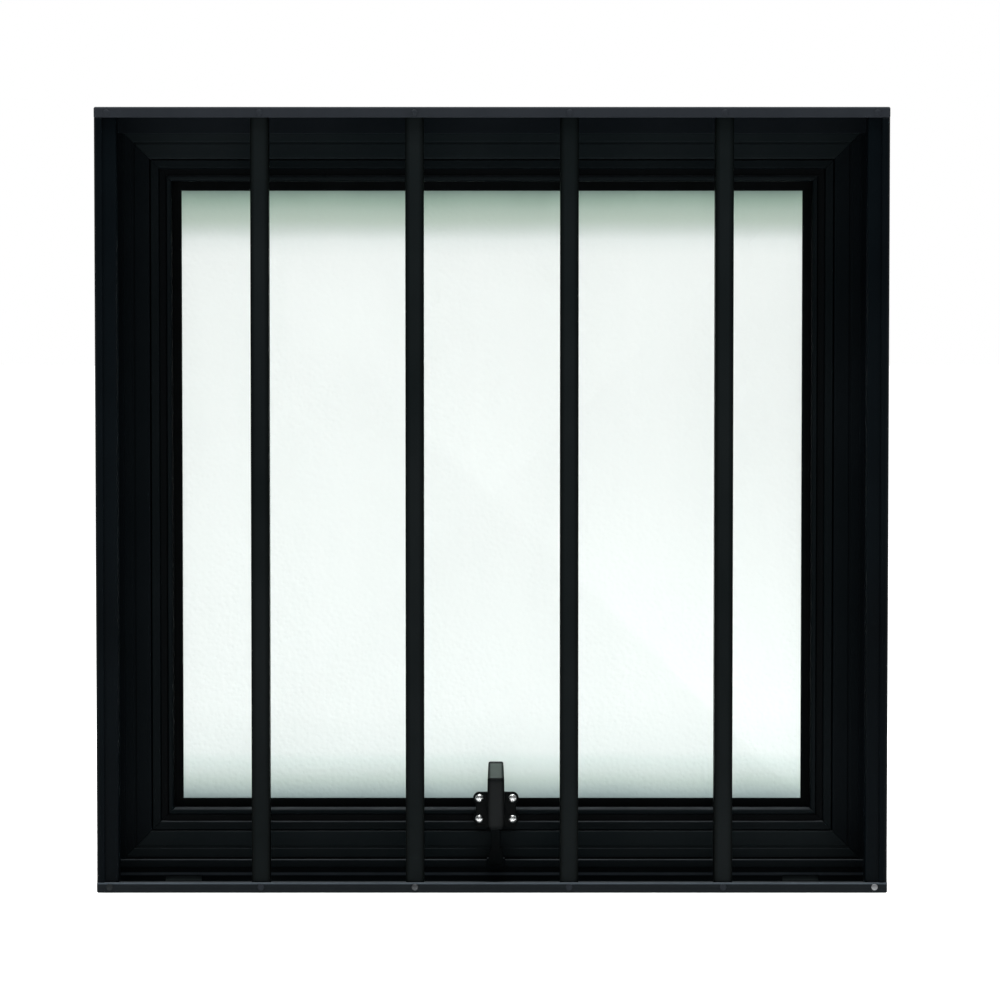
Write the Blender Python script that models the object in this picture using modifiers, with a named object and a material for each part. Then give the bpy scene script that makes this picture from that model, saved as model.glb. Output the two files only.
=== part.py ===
"""Top-hung window unit with a security grille of upright bars on its room side.

Metres, +Z up. X runs across the window, Y from the room (-Y) to the outside (+Y).
The origin is under the middle of the sill. Three words place a piece:
  inset  how far it lies inwards from an outer edge of the frame or of the sash,
  depth  how far it lies behind the front plane of the frame,
  side   the edge it belongs to: top, bottom, left or right.
"""

import math

import bmesh
import bpy
from mathutils import Matrix, Vector

# ---------------------------------------------------------------- overall sizes
UNIT_WIDTH = 0.600
UNIT_HEIGHT = 0.595
FRAME_DEPTH = 0.085
GAP = 0.0003                    # air between two pieces that touch

# ---------------------------------------------------------------- outer frame
WEB = 0.002                     # wall of the frame extrusions
LIP_HEIGHT = 0.008              # front lip of head and sill
JAMB_LIP = 0.006                # front lip of a jamb
JAMB_NOSE = 0.0035              # radius of its rounded outer edge
STOP_HEIGHT = 0.0175            # the flange that the sash closes against
SILL_STOP_HEIGHT = 0.019
NOSING_DEPTH = 0.0018           # bead along the top of the sill's stop
NOSING_HEIGHT = 0.006
DRAIN_WIDTH = 0.028
DRAIN_HEIGHT = 0.005
DRAIN_INSET = 0.062             # middle of a drain slot from the end of the sill
PORT_SIZE = 0.008               # lug on the jamb that takes the corner screws
PORT_BORE = 0.0042
CORNER_SCREW = 0.0035           # shank diameter
CORNER_SCREW_HEAD = 0.0066
CORNER_SCREW_LENGTH = 0.020
WALL_HOLE = 0.0052              # holes for the screws into the wall
WALL_HOLE_SHARE = 0.36     # depth of the wall screw holes, as a share of the frame depth
WALL_HOLE_INSET = 0.100

# ---------------------------------------------------------------- grille
BAR_COUNT = 4
BAR_PITCH = 0.117
BAR_WIDTH = 0.014
BAR_DEPTH = 0.015
BAR_WALL = 0.0012
RIVET_SHANK = 0.003
RIVET_HEAD = 0.005
RIVET_DOME = 0.0009
BARE_RIVETS = ("bottom_1", "bottom_3", "bottom_6")   # left bright, the others are painted over

# ---------------------------------------------------------------- sash
REAR_REVEAL = 0.004             # sash's back face in front of the frame's back edge
SASH_DEPTH = 0.0267
SASH_BOX = 0.0254               # width of the hollow part of a sash rail
SASH_WALL = 0.0016
RAIL_LINE_INSET = 0.0118        # fine groove run along the face of a sash rail
RAIL_LINE_WIDTH = 0.0020
RAIL_LINE_DEPTH = 0.0009
SASH_TOP_GAP = 0.0116           # sash edge from the outer edge of the head
SASH_BOTTOM_GAP = 0.0152        # and from the underside of the sill
SEAL_THICKNESS = 0.0017
BEAD_GROOVE = 0.0008            # shadow groove between rail and glazing bead
BEAD_WIDTH = 0.0163
BEAD_WALL = 0.0015
BEAD_STRIP = 0.006              # proud flat strip along the bead's outer edge
BEAD_STEP = 0.0030
BEAD_NOSE = 0.0036              # rounded inner edge of the bead
GASKET_LIP = 0.0067             # gasket that shows inside the bead
GASKET_THICKNESS = 0.0032
GLASS_THICKNESS = 0.004
GLASS_COVER = 0.0122            # glass hidden behind the gasket's edge
LEDGE_THICKNESS = 0.0018        # outer flange that holds the glass from behind
OUTER_GASKET = 0.0024
CLEAT_LEG = 0.042

# ---------------------------------------------------------------- stays
TRACK_BASE = 0.0012
TRACK_WIDTH = 0.018
TRACK_LIP = 0.001
TRACK_SLOT = 0.009
SHOE_THICKNESS = 0.0022
SHOE_LENGTH = 0.030
ARM_THICKNESS = 0.0016
ARM_WIDTH = 0.015
ARM_LENGTH = 0.100              # between pivots, and from the sash pivot to the shoe
SASH_BAR_THICKNESS = 0.0016
SASH_BAR_TAIL = 0.050           # sash bar below its pivot
STAY_CLEARANCE = 0.0005
SHOE_DROP = 0.002               # shoe pivot below the sash's top edge
PIVOT_STUD = 0.005
PIVOT_BOSS = 0.008
TRACK_TAIL = 0.020

# ---------------------------------------------------------------- latch
LATCH_X = 0.003
LATCH_DROP = 0.0058             # latch pivot below the visible edge of the glass
LATCH_SCREW_X = 0.0127          # half the screws' spacing
LATCH_SCREW_Z = 0.0080
LATCH_SCREW_SHANK = 0.0036
LATCH_SCREW_HEAD = 0.0065
LATCH_SCREW_DOME = 0.0022
BACKPLATE_THICKNESS = 0.0022
BASE_THICKNESS = 0.0039
BASE_BOSS = 0.014
BASE_BOSS_RISE = 0.0025
EAR_RADIUS = 0.0049
TONGUE_THICKNESS = 0.0032
TONGUE_NECK = 0.007
TONGUE_HEAD = 0.011
TONGUE_HEAD_HEIGHT = 0.012
TONGUE_OVERLAP = 0.0045         # of the tongue over the keeper
SPINDLE = 0.006
SPINDLE_HEAD = 0.010
HANDLE_WIDTH = 0.0136
HANDLE_HUB = 0.0052             # thickness of the handle at its hub
HANDLE_REACH = 0.0374           # handle tip above the pivot
HANDLE_TAIL = 0.0152            # handle end below the pivot
KEEPER_WIDTH = 0.014
KEEPER_WALL = 0.0022
KEEPER_DROP = 0.0075

# ---------------------------------------------------------------- derived places
RIVET_RISE = GAP + RIVET_DOME
FRONT_Y = RIVET_RISE - (FRAME_DEPTH + RIVET_RISE) / 2
HALF_WIDTH = UNIT_WIDTH / 2

STAY_STACK = (WEB + GAP, TRACK_BASE, GAP, SHOE_THICKNESS, GAP, TRACK_LIP, GAP,
              ARM_THICKNESS, GAP, SASH_BAR_THICKNESS)
(TRACK_IN, TRACK_FLOOR, SHOE_IN, SHOE_OUT, LIP_IN, LIP_OUT, ARM_IN, ARM_OUT,
 SASH_BAR_IN, SASH_BAR_OUT) = [sum(STAY_STACK[:n + 1]) for n in range(len(STAY_STACK))]
SASH_SIDE_GAP = SASH_BAR_OUT + STAY_CLEARANCE

SASH_BACK = FRAME_DEPTH - REAR_REVEAL
SASH_FACE = SASH_BACK - SASH_DEPTH
SEAL_BACK = SASH_FACE - GAP
SEAL_FRONT = SEAL_BACK - SEAL_THICKNESS
STOP_BACK = SEAL_FRONT - GAP
STOP_FRONT = STOP_BACK - WEB
LUG_BACK = STOP_FRONT - NOSING_DEPTH - GAP
LUG_MIDDLE = LUG_BACK - PORT_SIZE / 2

FRAME_RECT = (-HALF_WIDTH, HALF_WIDTH, 0.0, UNIT_HEIGHT)
SASH_RECT = (SASH_SIDE_GAP - HALF_WIDTH, HALF_WIDTH - SASH_SIDE_GAP,
             SASH_BOTTOM_GAP, UNIT_HEIGHT - SASH_TOP_GAP)

BEAD_IN = SASH_BOX + BEAD_GROOVE
BEAD_OUT = BEAD_IN + BEAD_WIDTH
DAYLIGHT = BEAD_OUT + GASKET_LIP          # inset of the visible glass
GLASS_INSET = DAYLIGHT - GLASS_COVER

LEDGE_BACK = SASH_BACK - 0.002
LEDGE_COVER = 0.0012       # the ledge reaches this far past the beads
LEDGE_FRONT = LEDGE_BACK - LEDGE_THICKNESS
GLASS_BACK = LEDGE_FRONT - OUTER_GASKET - 2 * GAP
GLASS_FRONT = GLASS_BACK - GLASS_THICKNESS
GASKET_BACK = GLASS_FRONT - GAP
GASKET_FRONT = GASKET_BACK - GASKET_THICKNESS
BEAD_BACK = GASKET_FRONT - GAP
BEAD_FRONT = SASH_FACE + 0.0002

STAY_DEPTH = (SASH_FACE + SASH_BACK) / 2
SHOE_Z = SASH_RECT[3] - SHOE_DROP
SASH_PIVOT_Z = SHOE_Z - ARM_LENGTH
FRAME_PIVOT_Z = SASH_PIVOT_Z - ARM_LENGTH

LATCH_Z = SASH_RECT[2] + DAYLIGHT - LATCH_DROP
BACKPLATE_BACK = SASH_FACE - GAP
BACKPLATE_FRONT = BACKPLATE_BACK - BACKPLATE_THICKNESS
BASE_BACK = BACKPLATE_FRONT - GAP
BASE_FRONT = BASE_BACK - BASE_THICKNESS
BOSS_FRONT = BASE_FRONT - BASE_BOSS_RISE
TONGUE_BACK = BOSS_FRONT - GAP
TONGUE_FRONT = TONGUE_BACK - TONGUE_THICKNESS
HUB_BACK = TONGUE_FRONT - GAP
HUB_FRONT = HUB_BACK - HANDLE_HUB


# ================================================================ scene helpers
def clear_scene():
    for obj in list(bpy.data.objects):
        bpy.data.objects.remove(obj, do_unlink=True)


def new_collection(name):
    collection = bpy.data.collections.new(name)
    bpy.context.scene.collection.children.link(collection)
    return collection


def make_material(name, colour, roughness, metallic):
    material = bpy.data.materials.new(name)
    material.use_nodes = True
    shader = material.node_tree.nodes["Principled BSDF"]
    shader.inputs["Base Color"].default_value = (*colour, 1.0)
    shader.inputs["Roughness"].default_value = roughness
    shader.inputs["Metallic"].default_value = metallic
    material.diffuse_color = (*colour, 1.0)
    return material


def mesh_object(name, mesh, matrix, look):
    """Put a mesh in the window's collection, at its place, with its material."""
    obj = bpy.data.objects.new(name, mesh)
    obj.matrix_world = matrix
    obj.data.materials.append(LOOKS[look].copy())
    obj.data.materials[0].name = name
    WINDOW.objects.link(obj)
    return obj


def tool_object(name, mesh, matrix):
    """Put a mesh among the cutters: it shapes other pieces and isn't one itself."""
    obj = bpy.data.objects.new(name, mesh)
    obj.matrix_world = matrix
    obj.hide_render = True
    obj.display_type = "WIRE"
    CUTTERS.objects.link(obj)
    return obj


def boolean(obj, operand, operation):
    modifier = obj.modifiers.new(operation.lower(), "BOOLEAN")
    modifier.object = operand
    modifier.operation = operation
    modifier.solver = "EXACT"


def smooth(mesh, angle=30):
    mesh.shade_smooth()
    mesh.set_sharp_from_angle(angle=math.radians(angle))


def pivot(name, location):
    """An empty on a joint's axis, which carries everything that turns with it."""
    empty = bpy.data.objects.new(name, None)
    empty.empty_display_size = 0.02
    empty.location = location
    WINDOW.objects.link(empty)
    return empty


def carry(parent, *children):
    bpy.context.view_layer.update()
    for child in children:
        child.parent = parent
        child.matrix_parent_inverse = parent.matrix_world.inverted()


# ================================================================ outline helpers
def arc(centre, radius, start, end, steps=4):
    """Points on an arc, angles in degrees, both ends included."""
    points = []
    for step in range(steps + 1):
        angle = math.radians(start + (end - start) * step / steps)
        points.append((centre[0] + radius * math.cos(angle), centre[1] + radius * math.sin(angle)))
    return points


def circle(radius, centre=(0.0, 0.0), steps=12):
    return arc(centre, radius, 0, 360, steps)[:-1]


def rectangle(low_x, high_x, low_y, high_y):
    return [(low_x, low_y), (high_x, low_y), (high_x, high_y), (low_x, high_y)]


def rounded(corners, steps=2):
    """An outline of corners (x, y, radius), each with its corner turned into an arc."""
    points = []
    count = len(corners)
    for index, (x, y, radius) in enumerate(corners):
        if radius == 0:
            points.append((x, y))
            continue
        here = Vector((x, y))
        before = (Vector(corners[index - 1][:2]) - here).normalized()
        after = (Vector(corners[(index + 1) % count][:2]) - here).normalized()
        half = before.angle(after) / 2
        centre = here + (before + after).normalized() * radius / math.sin(half)
        start = here + before * radius / math.tan(half) - centre
        turn = start.angle_signed(here + after * radius / math.tan(half) - centre)
        for step in range(steps + 1):
            spoke = start.copy()
            spoke.rotate(Matrix.Rotation(-turn * step / steps, 2))
            points.append(tuple(centre + spoke))
    return points


def round_box(low_x, high_x, low_y, high_y, radius, steps=2):
    return rounded([(x, y, radius) for x, y in rectangle(low_x, high_x, low_y, high_y)], steps)


def stadium(length, width, steps=8):
    """Outline of a flat bar with round ends, its first pivot at 0 and its other at length."""
    half = width / 2
    return arc((0, length), half, 0, 180, steps) + arc((0, 0), half, 180, 360, steps)


# ================================================================ solid helpers
def prism_mesh(name, outline, holes, low, high):
    """Mesh of a flat outline with holes, standing from low to high along its local Z."""
    curve = bpy.data.curves.new(name, "CURVE")
    curve.dimensions = "2D"
    curve.fill_mode = "BOTH"
    curve.extrude = (high - low) / 2
    for loop in [outline, *holes]:
        spline = curve.splines.new("POLY")
        spline.points.add(len(loop) - 1)
        for point, (x, y) in zip(spline.points, loop):
            point.co = (x, y, 0.0, 1.0)
        spline.use_cyclic_u = True
    flat = bpy.data.objects.new(name + "_outline", curve)
    bpy.context.scene.collection.objects.link(flat)
    bpy.context.view_layer.update()
    evaluated = flat.evaluated_get(bpy.context.evaluated_depsgraph_get())
    mesh = bpy.data.meshes.new_from_object(evaluated)
    mesh.name = name
    mesh.materials.clear()
    bpy.data.objects.remove(flat, do_unlink=True)
    bpy.data.curves.remove(curve)
    form = bmesh.new()
    form.from_mesh(mesh)
    bmesh.ops.remove_doubles(form, verts=form.verts, dist=1e-6)
    bmesh.ops.translate(form, verts=form.verts, vec=(0, 0, (low + high) / 2))
    bmesh.ops.recalc_face_normals(form, faces=form.faces)
    form.to_mesh(mesh)
    form.free()
    return mesh


def edge_matrix(side, rect):
    """Local axes of a member along one edge of a rectangle, and that edge's length.

    Local X is the inset from the edge, local Y the depth behind the front plane, and
    local Z runs along the edge from its middle.
    """
    left, right, bottom, top = rect
    middle_x, middle_z = (left + right) / 2, (bottom + top) / 2
    inwards = {"left": Vector((1, 0, 0)), "right": Vector((-1, 0, 0)),
               "bottom": Vector((0, 0, 1)), "top": Vector((0, 0, -1))}[side]
    origin = {"left": (left, FRONT_Y, middle_z), "right": (right, FRONT_Y, middle_z),
              "bottom": (middle_x, FRONT_Y, bottom), "top": (middle_x, FRONT_Y, top)}[side]
    back = Vector((0, 1, 0))
    turned_axes = Matrix((inwards, back, inwards.cross(back))).transposed().to_4x4()
    length = right - left if side in ("top", "bottom") else top - bottom
    return Matrix.Translation(origin) @ turned_axes, length


def member_mesh(name, outline, holes, length, mitred=False):
    """An extrusion centred on its length; mitred ends slope inwards at 45 degrees."""
    mesh = prism_mesh(name, outline, holes, -length / 2, length / 2)
    if mitred:
        for vertex in mesh.vertices:
            vertex.co.z -= math.copysign(vertex.co.x + 0.75 * GAP, vertex.co.z)
    return mesh


# Local axes of a flat plate, by the axis that its thickness lies along.
PLATE_AXES = {
    "X": Matrix(((0, 0, 1), (1, 0, 0), (0, 1, 0))).to_4x4(),
    "Y": Matrix(((1, 0, 0), (0, 0, -1), (0, 1, 0))).to_4x4(),
}


def plate(name, look, origin, axis, outline, holes, low, high):
    """A flat plate about an origin. Its outline lies in (Y, Z) or (X, Z), by its axis.

    low and high are its two faces along the axis, measured from the origin.
    """
    if axis == "Y":
        low, high = -high, -low
    mesh = prism_mesh(name, outline, holes, low, high)
    return mesh_object(name, mesh, Matrix.Translation(origin) @ PLATE_AXES[axis], look)


def turned(name, profile, steps=12):
    """A mesh turned about its local Z from (radius, height) points, top to bottom."""
    outline = bpy.data.meshes.new(name + "_profile")
    points = [(radius, 0.0, height) for radius, height in profile]
    outline.from_pydata(points, [(n, n + 1) for n in range(len(points) - 1)], [])
    spun = bpy.data.objects.new(name + "_spun", outline)
    bpy.context.scene.collection.objects.link(spun)
    screw = spun.modifiers.new("screw", "SCREW")
    screw.steps = steps
    screw.render_steps = steps
    screw.use_merge_vertices = True
    screw.merge_threshold = 0.00001
    bpy.context.view_layer.update()
    evaluated = spun.evaluated_get(bpy.context.evaluated_depsgraph_get())
    mesh = bpy.data.meshes.new_from_object(evaluated)
    mesh.name = name
    bpy.data.objects.remove(spun, do_unlink=True)
    smooth(mesh)
    return mesh


# Where a turned piece's local Z points.
TOWARDS_ROOM = Matrix.Rotation(math.radians(90), 4, "X")
UPWARDS = Matrix.Identity(4)
DOWNWARDS = Matrix.Rotation(math.radians(180), 4, "X")


def pegs(name, matrix, places, low, high, steps=12):
    """Round cutters: one cylinder for each (x, y, radius), all from low to high in local Z."""
    form = bmesh.new()
    for x, y, radius in places:
        centre = Matrix.Translation((x, y, (low + high) / 2))
        bmesh.ops.create_cone(form, cap_ends=True, segments=steps, radius1=radius,
                              radius2=radius, depth=high - low, matrix=centre)
    mesh = bpy.data.meshes.new(name)
    form.to_mesh(mesh)
    form.free()
    return tool_object(name, mesh, matrix)


# ================================================================ places
def at(x, depth, z):
    return Vector((x, FRONT_Y + depth, z))


def bar_places():
    """Middles of the upright bars and of the two end bars, from left to right."""
    middle = [(n - (BAR_COUNT - 1) / 2) * BAR_PITCH for n in range(BAR_COUNT)]
    end = HALF_WIDTH - WEB - 2 * GAP - BAR_WIDTH / 2
    return [-end, *middle, end]


def rivet_height(side):
    """The rivets sit halfway up the front lips."""
    middle = LIP_HEIGHT / 2 + WEB / 4
    return middle if side == "bottom" else UNIT_HEIGHT - middle


# ================================================================ outer frame
def frame_rail(name, side, stop_height, nosing):
    """Head or sill: a web with its front lip, and a stop that ends inside the jambs."""
    matrix, length = edge_matrix(side, FRAME_RECT)
    section = rounded([(0, 0, 0.0016), (LIP_HEIGHT, 0, 0.0008), (LIP_HEIGHT, WEB, 0.0004),
                       (WEB, WEB, 0), (WEB, FRAME_DEPTH, 0), (0, FRAME_DEPTH, 0)])
    rail = mesh_object(name, member_mesh(name, section, [], length), matrix, "coated_metal")
    corners = [(WEB / 2, STOP_FRONT, 0), (stop_height, STOP_FRONT, 0.0004),
               (stop_height, STOP_BACK, 0.0004), (WEB / 2, STOP_BACK, 0)]
    if nosing:
        face = STOP_FRONT - NOSING_DEPTH
        shoulder = stop_height - NOSING_HEIGHT
        corners[1:2] = [(shoulder, STOP_FRONT, 0), (shoulder, face, 0.0005),
                        (stop_height, face, 0.0012)]
    stop = member_mesh(name + "_stop", rounded(corners), [], length - 2 * (WEB + GAP))
    boolean(rail, tool_object(name + "_stop", stop, matrix), "UNION")
    return rail, matrix


def drill_frame_rail(rail, side):
    """Rivet holes through the front lip and countersunk holes for the corner screws."""
    rivets = [(x, rivet_height(side), RIVET_SHANK / 2 + GAP) for x in bar_places()]
    through_lip = Matrix.Translation((0, FRONT_Y, 0)) @ PLATE_AXES["Y"]
    boolean(rail, pegs(rail.name + "_rivet_holes", through_lip, rivets, -2 * WEB, WEB),
            "DIFFERENCE")
    for x in (-1, 1):
        sink = turned(rail.name + "_sink", corner_screw_profile(GAP, 2 * WEB))
        place = corner_screw_matrix(side, x)
        boolean(rail, tool_object(f"{rail.name}_sink_{x}", sink, place), "DIFFERENCE")


def corner_screw_profile(slack, length):
    """Half outline of a countersunk screw; a slack above 0 makes the hole for one."""
    head = CORNER_SCREW_HEAD / 2 + slack
    shank = CORNER_SCREW / 2 + slack
    top = 0.0 if slack == 0 else WEB
    return [(0, top), (head, top), (head, -0.0002), (shank, -0.0002 - (head - shank)),
            (shank, -length), (0, -length)]


def corner_screw_matrix(side, x):
    """On the web's outer face, above or below the screw port of a jamb."""
    centre = at(x * (HALF_WIDTH - WEB - PORT_SIZE / 2), LUG_MIDDLE, 0)
    if side == "top":
        return Matrix.Translation((*centre.xy, UNIT_HEIGHT - GAP / 3)) @ UPWARDS
    return Matrix.Translation((*centre.xy, GAP / 3)) @ DOWNWARDS


def make_sill():
    sill, matrix = frame_rail("frame_sill", "bottom", SILL_STOP_HEIGHT, True)
    drill_frame_rail(sill, "bottom")
    slot = rectangle(WEB + GAP / 3, WEB + GAP / 3 + DRAIN_HEIGHT, STOP_FRONT - WEB, STOP_BACK + WEB)
    for number, x in enumerate((-1, 1)):
        name = f"drain_slot_{number + 1}"
        middle = x * (HALF_WIDTH - DRAIN_INSET)
        mesh = prism_mesh(name, slot, [], middle - DRAIN_WIDTH / 2, middle + DRAIN_WIDTH / 2)
        boolean(sill, tool_object(name, mesh, matrix), "DIFFERENCE")


def make_head():
    head, _ = frame_rail("frame_head", "top", STOP_HEIGHT, False)
    drill_frame_rail(head, "top")


def make_jamb(side):
    """A jamb: web, rounded front nose, stop and screw lug, between head and sill."""
    name = "frame_jamb_" + side
    matrix, height = edge_matrix(side, FRAME_RECT)
    inner_height = height - 2 * (WEB + GAP)
    lap = WEB / 2
    web = rectangle(0, WEB, JAMB_NOSE - lap, FRAME_DEPTH)
    jamb = mesh_object(name, member_mesh(name, web, [], inner_height), matrix, "coated_metal")

    centre = (JAMB_NOSE, JAMB_NOSE)
    nose = [(JAMB_LIP, WEB), (JAMB_LIP, 0), *arc(centre, JAMB_NOSE, 270, 180, 5),
            (0, JAMB_NOSE + lap), (WEB, JAMB_NOSE + lap), *arc(centre, JAMB_NOSE - WEB, 180, 270, 4)]
    between_lips = height - 2 * (LIP_HEIGHT + GAP)
    foot = LUG_BACK - lap
    stop = [(lap, foot), (WEB + PORT_SIZE, foot), (WEB + PORT_SIZE, STOP_FRONT),
            (STOP_HEIGHT, STOP_FRONT), (STOP_HEIGHT, STOP_BACK), (lap, STOP_BACK)]
    stop_low = SILL_STOP_HEIGHT + GAP - height / 2
    stop_high = height / 2 - STOP_HEIGHT - GAP
    if side == "right":
        stop_low, stop_high = -stop_high, -stop_low
    lug = rectangle(lap, WEB + PORT_SIZE, LUG_BACK - PORT_SIZE, LUG_BACK)
    bore = circle(PORT_BORE / 2, (WEB + PORT_SIZE / 2, LUG_MIDDLE), 10)

    pieces = {
        "nose": member_mesh(name + "_nose", nose, [], between_lips),
        "stop": prism_mesh(name + "_stop", stop, [], stop_low, stop_high),
        "lug": member_mesh(name + "_lug", lug, [bore], inner_height),
    }
    for part, mesh in pieces.items():
        boolean(jamb, tool_object(f"{name}_{part}", mesh, matrix), "UNION")

    reach = height / 2 - WALL_HOLE_INSET
    wall_holes = [(FRAME_DEPTH * WALL_HOLE_SHARE, z, WALL_HOLE / 2) for z in (-reach, reach)]
    across = Matrix.Translation(matrix.translation) @ PLATE_AXES["X"]
    boolean(jamb, pegs(name + "_wall_holes", across, wall_holes, -2 * WEB, 2 * WEB), "DIFFERENCE")


def make_corner_screws():
    profile = corner_screw_profile(0, CORNER_SCREW_LENGTH)
    mesh = turned("corner_screw", profile, 10)
    for side in ("top", "bottom"):
        for x, hand in ((-1, "left"), (1, "right")):
            name = f"frame_corner_screw_{side}_{hand}"
            mesh_object(name, mesh.copy(), corner_screw_matrix(side, x), "screw_steel")


def make_frame_gasket():
    """One ring of seal on the back of the stops, where the sash presses on it."""
    left, right, bottom, top = SASH_RECT
    margin = 0.0005
    outer = rectangle(left + margin, right - margin, bottom + margin, top - margin)
    stop_x = HALF_WIDTH - STOP_HEIGHT + margin
    inner = rectangle(-stop_x, stop_x, SILL_STOP_HEIGHT - margin, UNIT_HEIGHT - STOP_HEIGHT + margin)
    plate("frame_gasket", "black_rubber", at(0, 0, 0), "Y", outer, [inner], SEAL_FRONT, SEAL_BACK)


# ================================================================ grille
def make_bars():
    """The upright tubes between sill and head, just behind the front lips."""
    front, back = WEB + GAP, WEB + GAP + BAR_DEPTH
    low, high = WEB + GAP, UNIT_HEIGHT - WEB - GAP
    half = BAR_WIDTH / 2
    outline = round_box(-half, half, front, back, 0.0016)
    inner = half - BAR_WALL
    hole = rectangle(-inner, inner, front + BAR_WALL, back - BAR_WALL)
    names = ["grille_end_bar_left"]
    names += [f"security_bar_{n + 1}" for n in range(BAR_COUNT)]
    names += ["grille_end_bar_right"]
    tube = prism_mesh("bar", outline, [hole], low, high)
    for number, (name, x) in enumerate(zip(names, bar_places())):
        place = Matrix.Translation((x, FRONT_Y, 0))
        bar = mesh_object(name, tube.copy(), place, "coated_metal")
        holes = [(x, rivet_height(side), RIVET_SHANK / 2 + GAP) for side in ("bottom", "top")]
        through_front = Matrix.Translation((0, FRONT_Y, 0)) @ PLATE_AXES["Y"]
        cutter = pegs(name + "_rivet_holes", through_front, holes, -front - 2 * BAR_WALL, 0)
        boolean(bar, cutter, "DIFFERENCE")
        for side in ("bottom", "top"):
            place_name = f"{side}_{number + 1}"
            look = "rivet_metal" if place_name in BARE_RIVETS else "coated_metal"
            rivet_name = "grille_rivet_" + place_name
            mesh = turned(rivet_name, rivet_profile(), 10)
            spot = Matrix.Translation(at(x, -GAP, rivet_height(side))) @ TOWARDS_ROOM
            mesh_object(rivet_name, mesh, spot, look)


def rivet_profile():
    """A low dome, and a shank that ends inside the tube."""
    head, shank = RIVET_HEAD / 2, RIVET_SHANK / 2
    dome = [(head * math.sin(math.radians(a)), RIVET_DOME * math.cos(math.radians(a)))
            for a in (0, 30, 60, 90)]
    end = -(GAP + WEB + GAP + BAR_WALL + 0.002)
    return [*dome, (shank, 0), (shank, end), (0, end)]


# ================================================================ sash
def make_sash_rails():
    """Four mitred hollow rails, with the ledge that holds the glass from outside."""
    inner = BEAD_OUT + LEDGE_COVER
    line_out = RAIL_LINE_INSET + RAIL_LINE_WIDTH
    line_floor = SASH_FACE + RAIL_LINE_DEPTH
    section = rounded([(0, SASH_FACE, 0.0012), (RAIL_LINE_INSET, SASH_FACE, 0),
                       (RAIL_LINE_INSET, line_floor, 0), (line_out, line_floor, 0),
                       (line_out, SASH_FACE, 0), (SASH_BOX, SASH_FACE, 0.0010),
                       (SASH_BOX, LEDGE_FRONT, 0), (inner, LEDGE_FRONT, 0.0004),
                       (inner, LEDGE_BACK, 0.0010), (SASH_BOX, LEDGE_BACK, 0),
                       (SASH_BOX, SASH_BACK, 0.0008), (0, SASH_BACK, 0.0010)])
    hollow = rectangle(SASH_WALL, SASH_BOX - SASH_WALL, SASH_FACE + SASH_WALL, SASH_BACK - SASH_WALL)
    rails = []
    for side, name in (("top", "sash_top_rail"), ("bottom", "sash_bottom_rail"),
                       ("left", "sash_stile_left"), ("right", "sash_stile_right")):
        matrix, length = edge_matrix(side, SASH_RECT)
        mesh = member_mesh(name, section, [hollow], length, mitred=True)
        rails.append(mesh_object(name, mesh, matrix, "coated_metal"))
    return rails


def make_corner_cleats():
    """Angles inside the hollow rails that hold the mitres together."""
    left, right, bottom, top = SASH_RECT
    near, far = SASH_WALL + GAP, SASH_BOX - SASH_WALL - GAP
    angle = [(near, near), (CLEAT_LEG, near), (CLEAT_LEG, far), (far, far),
             (far, CLEAT_LEG), (near, CLEAT_LEG)]
    faces = (SASH_FACE + SASH_WALL + GAP, SASH_BACK - SASH_WALL - GAP)
    cleats = []
    for side, corner_z, up in (("top", top, -1), ("bottom", bottom, 1)):
        for hand, corner_x, across in (("left", left, 1), ("right", right, -1)):
            outline = [(across * x, up * z) for x, z in angle]
            cleats.append(plate(f"corner_cleat_{side}_{hand}", "raw_aluminium",
                                at(corner_x, 0, corner_z), "Y", outline, [], *faces))
    return cleats


def make_glazing_beads():
    """Snap-in beads on the room side: strip, recess and rounded nose, open behind."""
    recess = BEAD_FRONT + BEAD_STEP
    leg_back = LEDGE_FRONT - GAP
    strip_end = BEAD_IN + BEAD_STRIP
    crest = BEAD_OUT - BEAD_NOSE
    section = [(BEAD_IN, BEAD_FRONT), (strip_end, BEAD_FRONT), (strip_end + 0.0008, recess),
               (crest - 0.0010, recess), (crest - 0.0002, BEAD_FRONT + 0.0005),
               *arc((crest, BEAD_FRONT + 0.0005 + BEAD_NOSE), BEAD_NOSE, 270, 360, 5),
               (BEAD_OUT, BEAD_BACK), (BEAD_OUT - BEAD_WALL, BEAD_BACK),
               (BEAD_OUT - BEAD_WALL, recess + BEAD_WALL + 0.003),
               (crest - 0.0010, recess + BEAD_WALL), (BEAD_IN + BEAD_WALL, recess + BEAD_WALL),
               (BEAD_IN + BEAD_WALL, leg_back), (BEAD_IN, leg_back)]
    beads = []
    for side in ("top", "bottom", "left", "right"):
        matrix, length = edge_matrix(side, SASH_RECT)
        name = "glazing_bead_" + side
        bead = mesh_object(name, member_mesh(name, section, [], length, mitred=True), matrix,
                           "coated_metal")
        beads.append(bead)
        if side == "bottom":
            low_screws = [(x, LATCH_Z - LATCH_SCREW_Z, LATCH_SCREW_SHANK / 2 + GAP)
                          for x in latch_screw_columns()]
            through = Matrix.Translation((0, FRONT_Y, 0)) @ PLATE_AXES["Y"]
            boolean(bead, pegs("bead_screw_holes", through, low_screws, -BEAD_BACK, -SASH_FACE),
                    "DIFFERENCE")
    return beads


def inset_rectangle(inset):
    left, right, bottom, top = SASH_RECT
    return rectangle(left + inset, right - inset, bottom + inset, top - inset)


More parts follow.
